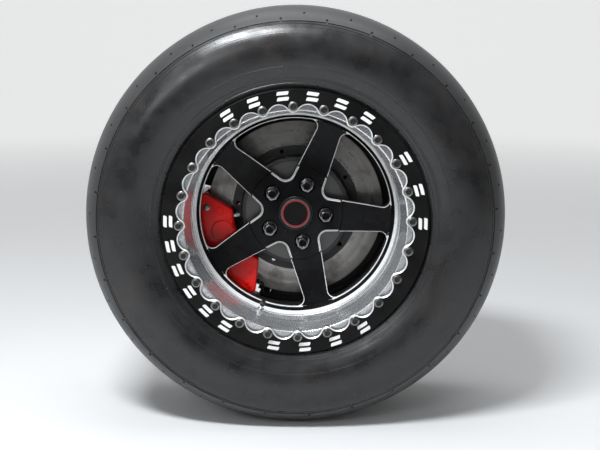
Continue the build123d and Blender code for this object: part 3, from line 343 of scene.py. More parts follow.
def makeWheelPlace():
    # radius and depth in metres, angle in degrees, and how squarely the surface faces outwards
    # from the car and in towards the axis
    labels = ("Radius", "Depth", "Angle", "Facing", "Inward")
    group, _, result = newGroup("wheelPlace", (), labels)
    coords = addCoordinates(group)
    place = splitVector(coords["Object"])
    facing = splitVector(coords["Normal"])
    across = place["X"]
    up = addMath(place["Z"], "SUBTRACT", axisHeight)
    squares = addMath(product(across, across), "ADD", product(up, up))
    radius = addMath(addMath(squares, "SQRT"), "MAXIMUM", 1e-5)
    outward = addMath(product(facing["X"], across), "ADD", product(facing["Z"], up))
    values = (
        radius,
        addMath(place["Y"], "SUBTRACT", ringFront),
        product(addMath(up, "ARCTAN2", across), 180 / pi),
        product(facing["Y"], -1.0),
        addMath(outward, "DIVIDE", product(radius, -1.0)),
    )
    for label, value in zip(labels, values):
        feed(result[label], value)
    return group


def makeTurnedLines():
    # fine rings left by the lathe, as a height and as a mask of lighter rings
    group, given, result = newGroup("turnedLines", [("Pitch", 900.0)], ["Height", "Mask"])
    place = placeGroup(group, wheelPlace)
    joined = joinVector(place["Radius"], place["Depth"])
    wide = addNoise(joined, product(given["Pitch"], 0.13))
    feed(result["Height"], addNoise(joined, given["Pitch"], detail=2.0))
    feed(result["Mask"], addRange(wide, *patchEdges))
    return group


def makeGrain():
    # even grain of a cast, moulded or sprayed surface
    group, given, result = newGroup("surfaceGrain", [("Scale", 600.0)], ["Height", "Patches"])
    place = addCoordinates(group)["Object"]
    wide = addNoise(place, product(given["Scale"], 0.03))
    feed(result["Height"], addNoise(place, given["Scale"], detail=4.0, roughness=0.6))
    feed(result["Patches"], addRange(wide, *patchEdges))
    return group


def makeBrushMarks():
    # straight brush marks across the wheel, slanted by the given angle
    inputs = [("Turn", 0.6), ("Fineness", 900.0)]
    group, given, result = newGroup("brushMarks", inputs, ["Height", "Mask"])
    place = addCoordinates(group)["Object"]
    turned = addNode(group, "VectorRotate", Vector=place, Angle=given["Turn"])
    turned.rotation_type = "Y_AXIS"
    parts = splitVector(turned.outputs[0])
    stretched = joinVector(product(parts["X"], 0.04), parts["Y"], parts["Z"])
    lines = addNoise(stretched, given["Fineness"], roughness=0.7)
    feed(result["Height"], lines)
    feed(result["Mask"], addRange(lines, 0.4, 0.6))
    return group


def makeDust():
    # thin dust that lies on what faces up, in soft patches
    group, given, result = newGroup("settledDust", [("Amount", 0.3)], ["Mask"])
    coords = addCoordinates(group)
    upward = addRange(splitVector(coords["Normal"])["Z"], -0.4, 1.0, 0.25, 1.0)
    noise = addNoise(coords["Object"], 14.0, detail=6.0, roughness=0.65)
    feed(result["Mask"], product(upward, addRange(noise, 0.38, 0.72), given["Amount"]))
    return group


def placeGroup(owner, group, **values):
    node = addNode(owner, "Group")
    node.node_tree = group
    for label, value in values.items():
        node.inputs[label].default_value = value
    return node.outputs


wheelPlace = makeWheelPlace()
turnedLines = makeTurnedLines()
surfaceGrain = makeGrain()
brushMarks = makeBrushMarks()
settledDust = makeDust()


def findShader(name):
    return bpy.data.materials[name].node_tree.nodes["Principled BSDF"]


def startMaterial(name, settings):
    bpy.data.materials.new(name).use_nodes = True
    shader = findShader(name)
    for label, value in settings.items():
        feed(shader.inputs[label], value)
    return shader


def addBump(shader, height, strength, distance=0.0002):
    # a second bump goes on top of the first
    node = addNode(shader, "Bump", Strength=strength, Distance=distance, Height=height)
    normal = shader.inputs["Normal"]
    if normal.is_linked:
        feed(node.inputs["Normal"], normal.links[0].from_socket)
    feed(normal, node.outputs[0])


def addZone(shader, mask, colour, **values):
    # where the mask is one, the surface takes another colour, roughness or metallic value
    def present(label):
        socket = shader.inputs[label]
        return socket.links[0].from_socket if socket.is_linked else socket.default_value

    feed(shader.inputs["Base Color"], addMix(mask, present("Base Color"), colour))
    for label, value in values.items():
        feed(shader.inputs[label], addRange(mask, 0.0, 1.0, present(label), value))


def grainyFinish(name, settings, colours, rough, scale, bump, dust=0.0):
    # painted, moulded or cast surface with patches of two colours and two levels of gloss
    shader = startMaterial(name, settings)
    grain = placeGroup(shader, surfaceGrain, Scale=scale)
    feed(shader.inputs["Base Color"], addMix(grain["Patches"], *colours))
    feed(shader.inputs["Roughness"], addRange(grain["Patches"], 0, 1, *rough))
    addBump(shader, grain["Height"], bump)
    if dust:
        dustMask = placeGroup(shader, settledDust, Amount=dust)["Mask"]
        addZone(shader, dustMask, (0.28, 0.26, 0.24), Roughness=0.8)


def turnedFinish(name, settings, colours, rough, pitch, bump):
    # metal from the lathe, with rings of two colours and two levels of gloss
    shader = startMaterial(name, settings)
    lines = placeGroup(shader, turnedLines, Pitch=pitch)
    feed(shader.inputs["Base Color"], addMix(lines["Mask"], *colours))
    feed(shader.inputs["Roughness"], addRange(lines["Mask"], 0, 1, *rough))
    addBump(shader, lines["Height"], bump, 0.0001)


metal = {"Metallic": 1.0}
rubber = {"Specular IOR Level": 0.55}
paint = {"Specular IOR Level": 0.1}
wheelPaint = {**paint, "Coat Weight": 0.05, "Coat Roughness": 0.08}
capPaint = {**paint, "Coat Weight": 0.05, "Coat Roughness": 0.1}
redPaint = {"Specular IOR Level": 0.15, "Coat Weight": 0.2, "Coat Roughness": 0.05}

grainyFinishes = {  # settings, two colours, two levels of roughness, grain, bump and dust
    "tyreRubber": (
        rubber, ((0.0075, 0.0075, 0.008), (0.0125, 0.0125, 0.013)), (0.24, 0.37), 900, 0.08, 0.03
    ),
    "blackAlloy": (
        wheelPaint, ((0.0035, 0.0035, 0.004), (0.006, 0.006, 0.0065)), (0.22, 0.3), 700, 0.03, 0.02
    ),
    "blackRing": (paint, (grey(0.004), grey(0.007)), (0.32, 0.42), 700, 0.06, 0.02),
    "hatBlack": ({}, (grey(0.010), grey(0.017)), (0.38, 0.5), 700, 0.1, 0.04),
    # near black: painted shade on the stud tips inside the nuts and on the pipe beside the caliper,
    # dark steel on the caliper bolts
    "darkSteelAndShade": (metal, (grey(0.012), (0.022, 0.021, 0.020)), (0.4, 0.5), 900, 0.08),
    "boltSteel": (metal, ((0.17, 0.168, 0.164), (0.24, 0.236, 0.23)), (0.26, 0.36), 900, 0.1),
    # near black inside the bolts' recesses and the nuts' bores: painted shade
    "paintedShadeRecess": ({}, (grey(0.006), (0.010, 0.0095, 0.009)), (0.42, 0.5), 900, 0.1),
    "nutChrome": (metal, ((0.16, 0.16, 0.165), (0.22, 0.22, 0.225)), (0.12, 0.2), 900, 0.03),
    "brightSteel": (metal, ((0.5, 0.5, 0.49), (0.62, 0.61, 0.6)), (0.25, 0.4), 900, 0.1),
    "capBlack": (capPaint, (grey(0.004), grey(0.007)), (0.3, 0.4), 900, 0.03),
    "valveBlack": ({}, (grey(0.010), grey(0.016)), (0.35, 0.45), 900, 0.05),
    "capRed": ({}, ((0.24, 0.008, 0.010), (0.30, 0.012, 0.014)), (0.3, 0.36), 900, 0.02),
    "hubSteel": (metal, ((0.3, 0.28, 0.26), (0.2, 0.18, 0.16)), (0.35, 0.55), 500, 0.2, 0.1),
    # darker than the cast alloy's own colour: painted shade, where the knuckle shows past the disc
    "knuckleAlloy": (
        {"Metallic": 0.9}, ((0.13, 0.128, 0.125), (0.18, 0.177, 0.172)), (0.5, 0.65), 350, 0.5, 0.15
    ),
    "shieldBlack": ({}, (grey(0.014), grey(0.022)), (0.45, 0.6), 400, 0.1, 0.1),
    "caliperRed": (
        redPaint, ((0.52, 0.004, 0.003), (0.84, 0.008, 0.005)), (0.28, 0.34), 500, 0.06, 0.02
    ),
    "padDark": ({}, ((0.02, 0.019, 0.018), (0.035, 0.033, 0.03)), (0.7, 0.85), 600, 0.4),
    "paleRubber": ({}, ((0.50, 0.49, 0.46), (0.6, 0.59, 0.56)), (0.45, 0.55), 900, 0.1),
    "markWhite": ({}, ((0.80, 0.80, 0.79), (0.70, 0.70, 0.69)), (0.4, 0.5), 700, 0.05),
}
turnedFinishes = {  # settings, two colours, two levels of roughness, pitch and bump
    "polishedAlloy": (
        {"Metallic": 0.8}, ((0.92, 0.93, 0.94), (0.74, 0.75, 0.77)), (0.15, 0.26), 800, 0.05
    ),
    "discIron": (
        {"Metallic": 0.95}, ((0.27, 0.26, 0.246), (0.23, 0.221, 0.209)), (0.26, 0.34), 900, 0.12
    ),
}
for name, row in grainyFinishes.items():
    grainyFinish(name, *row)
for name, row in turnedFinishes.items():
    turnedFinish(name, *row)

# Zones of the materials: the two ends of a soft edge or of a band, as radii unless a comment
# says otherwise
zones = {
    "tyreShoulder": (0.3555, 0.3585),
    "tyreBesideRing": (0.2505, 0.2620),
    "tyreSidewall": (0.262, 0.352),
    "tyreMarks": (0.2590, 0.2615),
    "barrelSteps": (0.010, 0.092),  # depths
    "barrelBehind": (0.1460, 0.1475),  # depths
    "barrelFace": (0.2, 0.201),
    "cutEdges": (0.1795, 0.1797),
    "hubSlope": (0.0879, 0.0908),
    "nutPocket": (0.0735, 0.0736),
    "nutPocketTurn": (17.0, 17.1),  # degrees off the middle of a spoke
    "spokeEnd": (0.1764, 0.1765),
    "spokeEndTurn": (7.0, 7.1),  # degrees
    "windowTurn": (9.0, 9.5),  # degrees
    "windowRim": (0.1790, 0.1811),
    "outerBand": (0.1862, 0.1864),
    "ringInside": (0.2148, 0.2152),
    "discRim": (0.1680, 0.1688),
    "hatFace": (0.0945, 0.0955),
    "capGroove": (0.0254, 0.0281),
    "capEdge": (0.0308, 0.0312),
}
barrelHeights = (  # place between the ends of barrelSteps, and height
    (0.0, 0.0), (0.10, 0.5), (0.16, 0.2), (0.42, 0.3), (0.50, 0.9), (0.58, 0.4), (0.86, 0.5),
    (0.95, 1.0),
)


def detailRubber(shader):
    place = placeGroup(shader, wheelPlace)
    radius = place["Radius"]

    def crests(waves, low, high):
        # one on the crests of waves that run round the wheel
        return addRange(addMath(product(place["Angle"], waves), "SINE"), low, high)

    # brownish patches: scuffs, and a painted brownish reflection
    noise = addNoise(addCoordinates(shader)["Object"], 9.0, detail=5.0, roughness=0.6)
    addZone(shader, addRange(noise, 0.56, 0.72, 0.0, 0.4), (0.030, 0.022, 0.018))
    # paler rubber on the shoulder, darker beside the ring
    shoulder = addRange(radius, *zones["tyreShoulder"], 0.0, 0.6)
    addZone(shader, shoulder, (0.030, 0.030, 0.031), Roughness=0.50)
    addZone(shader, addBand(radius, *zones["tyreBesideRing"], 0.002), (0.010, 0.010, 0.011))
    # fine rings left by the mould, and a broken row of short marks near the rim
    rings = placeGroup(shader, turnedLines, Pitch=420.0)
    sidewall = addBand(radius, *zones["tyreSidewall"], 0.004)
    addBump(shader, product(rings["Height"], sidewall), 0.35, 0.0006)
    marks = addBand(radius, *zones["tyreMarks"], 0.0002)
    row = product(marks, crests(0.115, 0.1, 0.2), crests(16.0, -0.2, 0.2))
    addBump(shader, row, 0.8, 0.0006)


def detailPolished(shader):
    place = placeGroup(shader, wheelPlace)
    # low steps turned in the mouth of the barrel
    steps = addNode(shader, "ValToRGB", Fac=addRange(place["Depth"], *zones["barrelSteps"]))
    ramp = steps.color_ramp
    for _ in barrelHeights[2:]:
        ramp.elements.new(0.5)
    for element, (position, height) in zip(ramp.elements, barrelHeights):
        element.position = position
        element.color = (*grey(height), 1)
    addBump(shader, steps.outputs["Color"], 0.6, 0.0012)
    # the inside behind the wheel centre is painted darker, browner and duller, as painted shade where
    # the car would shade it
    deep = addRange(place["Depth"], *zones["barrelBehind"])
    behind = product(deep, addRange(place["Inward"], 0.3, 0.4))
    addZone(shader, behind, (0.085, 0.078, 0.072), Roughness=0.5, Metallic=0.6)
    # brushed face in front, inside the scallops of the ring
    flat = addRange(place["Facing"], 0.85, 0.95)
    face = product(flat, addRange(place["Radius"], *zones["barrelFace"]))
    marks = placeGroup(shader, brushMarks, Turn=0.65, Fineness=700.0)
    addZone(shader, face, (0.36, 0.37, 0.38), Roughness=0.34)
    addZone(shader, product(face, marks["Mask"]), (0.55, 0.56, 0.57), Roughness=0.24)
    addBump(shader, product(face, marks["Height"]), 0.3, 0.0003)


def detailBlackAlloy(shader):
    place = placeGroup(shader, wheelPlace)
    radius = place["Radius"]
    facing = place["Facing"]
    # degrees off the middle of the nearest spoke
    turn = addMath(place["Angle"], "SUBTRACT", lugAngles[0] - spokeStep / 2)
    folded = addMath(turn, "FLOORED_MODULO", spokeStep)
    offSpoke = addMath(addMath(folded, "SUBTRACT", spokeStep / 2), "ABSOLUTE")
    # the cut edges are bare, but not the slope round the hub, the nuts' pockets or the spokes' ends
    cut = product(addBand(facing, 0.22, 0.86, 0.02), addBelow(radius, zones["cutEdges"]))
    bare = addMath(cut, "SUBTRACT", addBand(radius, *zones["hubSlope"], 0.0001))
    nearNut = addBelow(offSpoke, zones["nutPocketTurn"])
    pocket = product(addBelow(radius, zones["nutPocket"]), nearNut)
    nearEnd = addBelow(offSpoke, zones["spokeEndTurn"])
    spokeEnd = product(addRange(radius, *zones["spokeEnd"]), nearEnd)
    bare = addMath(bare, "SUBTRACT", addMath(pocket, "ADD", spokeEnd))
    bare = addMath(bare, "MAXIMUM", 0.0)
    # so is the outer edge of each window, between its corners
    rim = addBand(radius, *zones["windowRim"], 0.0001)
    inWindow = addRange(offSpoke, *zones["windowTurn"])
    bare = addMath(bare, "MAXIMUM", product(rim, addRange(facing, 0.1, 0.2), inWindow))
    # and so is the outer band, where the centre meets the barrel
    band = product(addRange(radius, *zones["outerBand"]), addRange(facing, 0.3, 0.4))
    bare = addMath(bare, "MAXIMUM", band)
    addZone(shader, bare, (0.97, 0.97, 0.96), Roughness=0.32, Metallic=0.4)
    lines = placeGroup(shader, turnedLines, Pitch=800.0)
    addBump(shader, product(lines["Height"], band), 0.3, 0.0002)


def detailBlackRing(shader):
    # the slope and the wall of the scallops are bare; the wall is painted darker than the slope, as
    # painted shade
    place = placeGroup(shader, wheelPlace)
    facing = place["Facing"]
    inner = addBelow(place["Radius"], zones["ringInside"])
    slope = product(addBand(facing, 0.3, 0.9, 0.05), inner)
    wall = product(addBelow(facing, (0.1, 0.2)), inner)
    addZone(shader, wall, grey(0.22), Roughness=0.3, Metallic=1.0)
    addZone(shader, slope, (0.84, 0.84, 0.83), Roughness=0.32, Metallic=0.6)


def detailDiscIron(shader):
    noise = addNoise(addCoordinates(shader)["Object"], 30.0, detail=6.0, roughness=0.65)
    blotches = addRange(noise, 0.5, 0.7, 0.0, 0.7)
    addZone(shader, blotches, (0.11, 0.10, 0.09), Roughness=0.6)
    # the pads don't reach the rim of the disc, which has rusted lightly
    rim = addRange(placeGroup(shader, wheelPlace)["Radius"], *zones["discRim"])
    addZone(shader, rim, (0.10, 0.075, 0.06), Roughness=0.7, Metallic=0.4)


def detailHatBlack(shader):
    # the face that bears on the wheel is bare
    face = addBelow(placeGroup(shader, wheelPlace)["Radius"], zones["hatFace"])
    addZone(shader, face, (0.105, 0.103, 0.10), Roughness=0.34, Metallic=0.95)


def detailCapBlack(shader):
    radius = placeGroup(shader, wheelPlace)["Radius"]
    groove = addBand(radius, *zones["capGroove"], 0.0002)
    addZone(shader, groove, grey(0.12), Roughness=0.3, Metallic=0.8)
    edge = addRange(radius, *zones["capEdge"])
    addZone(shader, edge, grey(0.07), Roughness=0.3, Metallic=0.8)


for name, addDetails in (
    ("tyreRubber", detailRubber),
    ("polishedAlloy", detailPolished),
    ("blackAlloy", detailBlackAlloy),
    ("blackRing", detailBlackRing),
    ("discIron", detailDiscIron),
    ("hatBlack", detailHatBlack),
    ("capBlack", detailCapBlack),
):
    addDetails(findShader(name))

nodeFinishes = {
    "polishedAlloy": ["rim_barrel"],
    "blackAlloy": ["wheel_centre"],
    "blackRing": ["beadlock_ring"],
    # the studs and the pipe are painted near black as painted shade
    "darkSteelAndShade": ["wheel_studs", "caliper_bolts", "crossover_pipe"],
    "brightSteel": ["balance_weight", "bearing_bolts", "pad_pin"],
    "capBlack": ["centre_cap"],
    "capRed": ["cap_ring"],
    "discIron": ["brake_disc"],
    "hatBlack": ["disc_hat"],
    "hubSteel": ["wheel_hub", "hub_bearing"],
    "knuckleAlloy": ["knuckle"],
    "shieldBlack": ["dust_shield"],
    "caliperRed": ["caliper_outer", "caliper_inner"],
    "padDark": ["pad_outer", "pad_inner"],
}
for finish, names in nodeFinishes.items():
    for name in names:
        for slotOf in nodes[name].material_slots:
            slotOf.material = bpy.data.materials[finish]
print("materials made")


# Tyre: ribs, grooves and tread cut into half a section, then turned, repeated and mirrored

tyre = {
    "treadHalf": 0.089,
    "treadDrop": 0.0025,  # from the middle of the tread to its edge
    "treadGrooves": ((0.014, 0.022), (0.050, 0.058)),  # from and to, off the middle
    "grooveDepth": 0.0065,
    "grooveEdge": 0.0007,
    "shoulder": (0.004, 0.355),
    "bulgeRadius": 0.3106,
    "beadRadius": 0.241,
    "seatRadius": 0.21845,
    "seatFront": 0.00965,
    "beadBack": (0.027, 0.2403),
    "sidewall": 0.009,
    "treadWall": 0.014,
    "linerDrop": 0.007,
    "sectors": 28,
    "slotTurn": 0.52,  # degrees that a slot takes
    "slant": 5.0,  # degrees that a slot leans, from the middle to the edge of the tread
    "start": 0.6,  # degrees to the first sector
    "rings": (  # radius, width and rise of each rib or groove of the sidewall
        (0.3562, 0.0022, -0.0013),
        (0.3524, 0.0012, -0.0008),
        (0.3462, 0.0010, -0.0003),
        (0.2790, 0.0012, 0.0003),
        (0.2585, 0.0007, 0.0003),
        (0.2558, 0.0009, 0.0004),
        (0.2463, 0.0078, 0.0009),
    ),
    "ringEdge": 0.0004,
    "slots": ((0.026, 0.045), (0.062, 0.084)),  # across the tread, off the middle
    "slotDepth": 0.0045,
    "slotWall": 0.0004,
    "ticks": (0.3568, 0.3635, 0.0022),  # from and to radius, depth
    "pits": (0.3695, 0.3725, 0.0020),
    "cuts": (0.2433, 0.2493, 0.0014),
}


def treadHeight(offset):
    return tyreRadius - tyre["treadDrop"] * (offset / tyre["treadHalf"]) ** 2


def drawTyreOutside(bm):
    moves = []
    deep = tyre["grooveDepth"]
    edge = tyre["grooveEdge"]
    for near, far in tyre["treadGrooves"]:
        for offset, past, drop in (
            (near, -edge, 0), (near, 0, edge), (near, 2 * edge, deep), (far, -2 * edge, deep),
            (far, 0, edge), (far, edge, 0),
        ):
            moves.append(("to", tyreMiddle - offset - past, treadHeight(offset) - drop))
    half = tyre["treadHalf"]
    slope = 2 * tyre["treadDrop"] / half
    moves += [
        ("to", tyreMiddle - half, treadHeight(half)),
        ("head", -1, -slope),
        ("arc", *tyre["shoulder"], 10),
        ("into", bulgeDepth, tyre["bulgeRadius"], 8, 0, -1),
        ("arc", tyre["seatFront"], tyre["beadRadius"], 10),
    ]
    drawSection(bm, (tyreMiddle, tyreRadius), moves)


def drawTyreInside(bm):
    half = tyre["treadHalf"]
    linerRadius = tyreRadius - tyre["treadWall"]
    wallDepth = bulgeDepth + tyre["sidewall"]
    slope = 2 * tyre["linerDrop"] / half
    moves = [
        ("to", tyre["seatFront"], tyre["seatRadius"]),
        ("to", tyre["beadBack"][0], tyre["seatRadius"]),
        ("to", *tyre["beadBack"]),
        ("into", wallDepth, tyre["bulgeRadius"], 6, 0, 1),
        ("into", tyreMiddle - half, linerRadius - tyre["linerDrop"], 6, 1, slope),
        ("to", tyreMiddle, linerRadius),
    ]
    drawSection(bm, (tyre["seatFront"], tyre["beadRadius"]), moves)


def cutWire(bm, height=None, offset=None):
    # adds a vertex to the wire at a radius, or at an offset from the middle of the tread
    if height:
        place, normal = (0, 0, axisHeight + height), (0, 0, 1)
    else:
        place, normal = (0, ringFront + tyreMiddle - offset, 0), (0, 1, 0)
    bmesh.ops.bisect_plane(bm, geom=allOf(bm), dist=1e-6, plane_co=place, plane_no=normal)


def turnColumns(bm, geom):
    # turns a wire through one sector: block, slot and block, twice over
    block = (360 / tyre["sectors"] / 2 - tyre["slotTurn"]) / 2
    for turn, steps in ((block, 2), (tyre["slotTurn"], 1), (block, 2)) * 2:
        geom = bmesh.ops.spin(
            bm, geom=geom, cent=wheelCentre, axis=wheelAxis, angle=radians(turn), steps=steps
        )["geom_last"]


def wheelSpot(point):
    # radius, offset from the middle of the tyre, and turn from straight up, in degrees
    across, up = point.x, point.z - axisHeight
    return hypot(across, up), abs(point.y - ringFront - tyreMiddle), degrees(atan2(across, up))


def sinkTyre(bm, column, depth, low, high, tread=False):
    # presses the faces of one slot column in, between two radii or two offsets from the middle
    chosen = []
    for face in bm.faces:
        radius, offset, turn = wheelSpot(face.calc_center_median())
        along = offset if tread else radius
        outside = (offset < tyre["treadHalf"]) == tread
        if outside and low < along < high and abs(turn - column) < tyre["slotTurn"] / 2:
            chosen.append(face)
    wall = tyre["slotWall"]
    bmesh.ops.inset_region(bm, faces=chosen, thickness=wall, depth=-depth, use_even_offset=True)


def makeTyre():
    bm = bmesh.new()
    drawTyreOutside(bm)
    edge = tyre["ringEdge"]
    for radius, width, _ in tyre["rings"]:
        for step in (-width / 2 - edge, -width / 2, width / 2, width / 2 + edge):
            cutWire(bm, height=radius + step)
    for name in ("ticks", "pits", "cuts"):
        for radius in tyre[name][:2]:
            cutWire(bm, height=radius)
    for ends in tyre["slots"]:
        for offset in ends:
            cutWire(bm, offset=offset)
    turnColumns(bm, allOf(bm))
    bm.normal_update()
    sample = max(bm.faces, key=lambda face: face.calc_center_median().z)
    if sample.normal.z < 0:
        bmesh.ops.reverse_faces(bm, faces=bm.faces[:])
        bm.normal_update()
    for vert in bm.verts:
        height, offset, _ = wheelSpot(vert.co)
        for radius, width, rise in tyre["rings"]:
            if offset > tyre["treadHalf"] and abs(height - radius) < width / 2 + sameSpot:
                vert.co += vert.normal * rise
    quarter = 90 / tyre["sectors"]
    for low, high in tyre["slots"]:
        for column in (quarter, 3 * quarter):
            sinkTyre(bm, column, tyre["slotDepth"], low, high, tread=True)
    for name, column in (("ticks", quarter), ("pits", 3 * quarter), ("cuts", quarter)):
        low, high, depth = tyre[name]
        sinkTyre(bm, column, depth, low, high)
    before = len(bm.verts)
    edgesBefore = len(bm.edges)
    drawTyreInside(bm)
    bm.verts.ensure_lookup_table()
    bm.edges.ensure_lookup_table()
    turnColumns(bm, bm.verts[before:] + bm.edges[edgesBefore:])
    joinSpots(bm)
    for vert in bm.verts:
        offset = wheelSpot(vert.co)[1]
        turn = tyre["start"] + tyre["slant"] * min(offset / tyre["treadHalf"], 1)
        vert.co = wheelCentre + Matrix.Rotation(radians(turn), 3, wheelAxis) @ (vert.co - wheelCentre)
    sectors = tyre["sectors"]
    turn = 2 * pi * (1 - 1 / sectors)
    bmesh.ops.spin(
        bm, geom=allOf(bm), cent=wheelCentre, axis=wheelAxis, angle=turn, steps=sectors - 1,
        use_duplicate=True,
    )
    joinSpots(bm)
    mirror = Matrix.Translation((0, -ringFront - tyreMiddle, 0))
    bmesh.ops.mirror(bm, geom=allOf(bm), matrix=mirror, axis="Y", merge_dist=sameSpot)
    joinSpots(bm)
    faceOutwards(bm)
    piece = makePiece("tyreModel", bm, "wheel_body", ["tyreRubber"], 28)
    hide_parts("tyre")


# Bolts of the ring: flanged hexagon heads with a dished recess

ringBolt = {
    "count": 24,
    "circle": 0.2087,
    "angle": 91.1,
    "turnStep": 37,  # degrees from the turn of one head to the next one's
    "flats": 0.0127,
    "top": 0.0073,
    "edge": 0.0003,
    "coneRadius": 0.0061,
    "coneSlope": 0.45,
    "recessRadius": 0.0051,
    "recessFloor": 0.8,  # share of that radius
    "recessDepth": 0.0018,
    "recessDish": 0.0004,
    "washerRadius": 0.0087,
    "washerThick": 0.0018,
    "washerBevel": (0.0006, 0.0005),  # inwards and back
    "shankRadius": 0.00397,
    "shankEnd": -0.026,
    "shankBevel": 0.0005,
    "steps": 24,
}


def makeRingBolts():
    form = ringBolt
    corner = form["flats"] / 2 / cos(radians(30))
    top, edge, washer = form["top"], form["edge"], form["washerThick"]
    recess, rim, shank = form["recessRadius"], form["washerRadius"], form["shankRadius"]
    floor = top - form["recessDepth"]
    coneFoot = top - (corner - form["coneRadius"]) * form["coneSlope"]
    bevelIn, bevelBack = form["washerBevel"]
    end, endBevel = form["shankEnd"], form["shankBevel"]
    profile = (
        (0, floor - form["recessDish"]), (recess * form["recessFloor"], floor),
        (recess - edge, top - edge), (recess, top), (form["coneRadius"], top), (corner, coneFoot),
        (corner, washer + edge), (rim - bevelIn, washer), (rim, washer - bevelBack), (rim, 0),
        (shank, 0), (shank, end + endBevel), (shank - endBevel, end), (0, end),
    )
    source = turnedShape(profile, form["steps"])
    low, high = washer + 2 * hairline, coneFoot + hairline
    cutHexagon(source, form["flats"], low, high, form["coneSlope"])
    paintInside(source, recess - 2 * hairline, washer)
    places = []
    for bolt in range(form["count"]):
        angle = form["angle"] + 360 / form["count"] * bolt
        places.append(wheelMatrix(form["circle"], angle, 0, form["turnStep"] * bolt))
    bm = joinShapes([source], places)
    piece = makePiece("beadlockBolts", bm, "wheel_body", ["boltSteel", "paintedShadeRecess"])
    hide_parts("beadlock_bolts")


# Lug nuts: long open hexagons, threaded inside, on a round foot

lugNut = {
    "circle": 0.05715,
    "seatDepth": 0.136,
    "turns": (8, 31, 52, 17, 44),  # degrees at which the nuts came to rest
    "length": 0.037,
    "flats": 0.019,
    "edge": 0.0004,
    "coneRadius": 0.0088,
    "coneSlope": 0.55,
    "footRadius": 0.0135,
    "footHeight": 0.006,
    "footBevel": 0.0009,
    "boreRadius": 0.0065,
    "threadStart": 0.0285,
    "threadPitch": 0.0015,
    "threads": 5,
    "crest": 0.0060,
    "crestPlace": (0.45, 0.55),  # shares of the pitch
    "mouthRadius": 0.0076,
    "mouthDepth": 0.0011,
    "steps": 36,
}


def makeLugNuts():
    form = lugNut
    corner = form["flats"] / 2 / cos(radians(30))
    tip, foot, edge = form["length"], form["footHeight"], form["edge"]
    bore, rim, bevel = form["boreRadius"], form["footRadius"], form["footBevel"]
    coneFoot = tip - (corner - form["coneRadius"]) * form["coneSlope"]
    profile = [(bore, 0)]
    for thread in range(form["threads"]):
        start = form["threadStart"] + thread * form["threadPitch"]
        profile.append((bore, start))
        for share in form["crestPlace"]:
            profile.append((form["crest"], start + form["threadPitch"] * share))
    profile += [
        (bore, tip - form["mouthDepth"]), (form["mouthRadius"], tip), (form["coneRadius"], tip),
        (corner, coneFoot), (corner, foot + edge), (corner + edge, foot), (rim - bevel, foot),
        (rim, foot - bevel), (rim, edge), (rim - edge, 0), (bore, 0),
    ]
    source = turnedShape(profile, form["steps"])
    low, high = foot + 4 * hairline, coneFoot + hairline
    cutHexagon(source, form["flats"], low, high, form["coneSlope"])
    paintInside(source, bore + 4 * hairline)
    places = []
    for angle, turn in zip(lugAngles, form["turns"]):
        places.append(wheelMatrix(form["circle"], angle, form["seatDepth"], turn))
    bm = joinShapes([source], places)
    piece = makePiece("lugNuts", bm, "wheel_body", ["nutChrome", "paintedShadeRecess"])
    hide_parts("lug_nuts")


# Valve stem: bright cup and nut, a plain stem and a ribbed black cap

valve = {  # profiles of radius and height
    "radius": 0.193,
    "angle": 249.5,
    "depth": 0.080,
    "lean": 22.0,
    "stem": 0.0039,
    "foot": -0.0045,
    "cup": ((0.0066, 0.0002), (0.0072, 0.0008), (0.0070, 0.0018), (0.0062, 0.0032)),
    "nut": ((0.00645, 0.0034), (0.00645, 0.0066), (0.0058, 0.0072)),
    "nutHexagon": (0.0112, 0.0033, 0.0067),  # across the flats, and from and to height
    "capStart": 0.0150,
    "capEnd": 0.0250,
    "capRadius": 0.0050,
    "capEdge": 0.0004,
    "capTip": ((0.0005, 0.0020), (0.0008, 0.0006), (0.0014, 0)),  # in from radius and end
    "capFloor": 0.0010,
    "ribs": 24,
    "ribStop": 0.0024,  # short of the cap's end
    "ribWaist": 0.94,  # share of the cap's radius between two ribs
    "steps": 36,
}


def makeValve():
    form = valve
    stem, wide = form["stem"], form["capRadius"]
    start, end = form["capStart"], form["capEnd"]
    floor = start + form["capFloor"]
    profile = (
        (0, form["foot"]), (stem, form["foot"]), (stem, form["cup"][0][1]), *form["cup"],
        *form["nut"], (stem, form["nut"][-1][1]), (stem, floor), (0, floor),
    )
    cup = turnedShape(profile, form["steps"])
    cutHexagon(cup, *form["nutHexagon"])
    edge, ribEnd = form["capEdge"], end - form["ribStop"]
    profile = (
        (0, start), (wide - edge, start), (wide, start + edge), (wide, ribEnd),
        *((wide - inwards, end - below) for inwards, below in form["capTip"]), (0, end),
    )
    cap = turnedShape(profile, 2 * form["ribs"], 1)
    low, high = start + 4 * hairline, ribEnd + 4 * hairline
    for vert in cap.verts:
        column = round(degrees(atan2(vert.co.y, vert.co.x)) * form["ribs"] / 180)
        outside = hypot(vert.co.x, vert.co.y) > wide - 4 * hairline
        if outside and low < vert.co.z < high and column % 2:
            vert.co.xy *= form["ribWaist"]
    place = inwardMatrix(form["radius"], form["angle"], form["depth"], form["lean"])
    bm = joinShapes([cup, cap], [place])
    piece = makePiece("valveStem", bm, "wheel_body", ["brightSteel", "valveBlack"])
    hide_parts("valve_stem")


# Bleeder of the caliper, with its rubber cap

bleeder = {
    "radius": 0.11985,
    "angle": 185.5,
    "depth": 0.1601,
    "screw": (  # radius and height
        (0, -0.0040), (0.0028, -0.0040), (0.0028, 0.0004), (0.0046, 0.0004), (0.0046, 0.0050),
        (0.0035, 0.0054), (0.0030, 0.0056), (0.0030, 0.0062), (0, 0.0062),
    ),
    "hexagon": (0.0080, 0.0003, 0.0051),  # across the flats, and from and to height
    "cap": (
        (0, 0.0058), (0.0038, 0.0058), (0.0038, 0.0072), (0.0033, 0.0076), (0.0033, 0.0108),
        (0.0036, 0.0112), (0.0030, 0.0120), (0, 0.0120),
    ),
    "steps": 24,
}


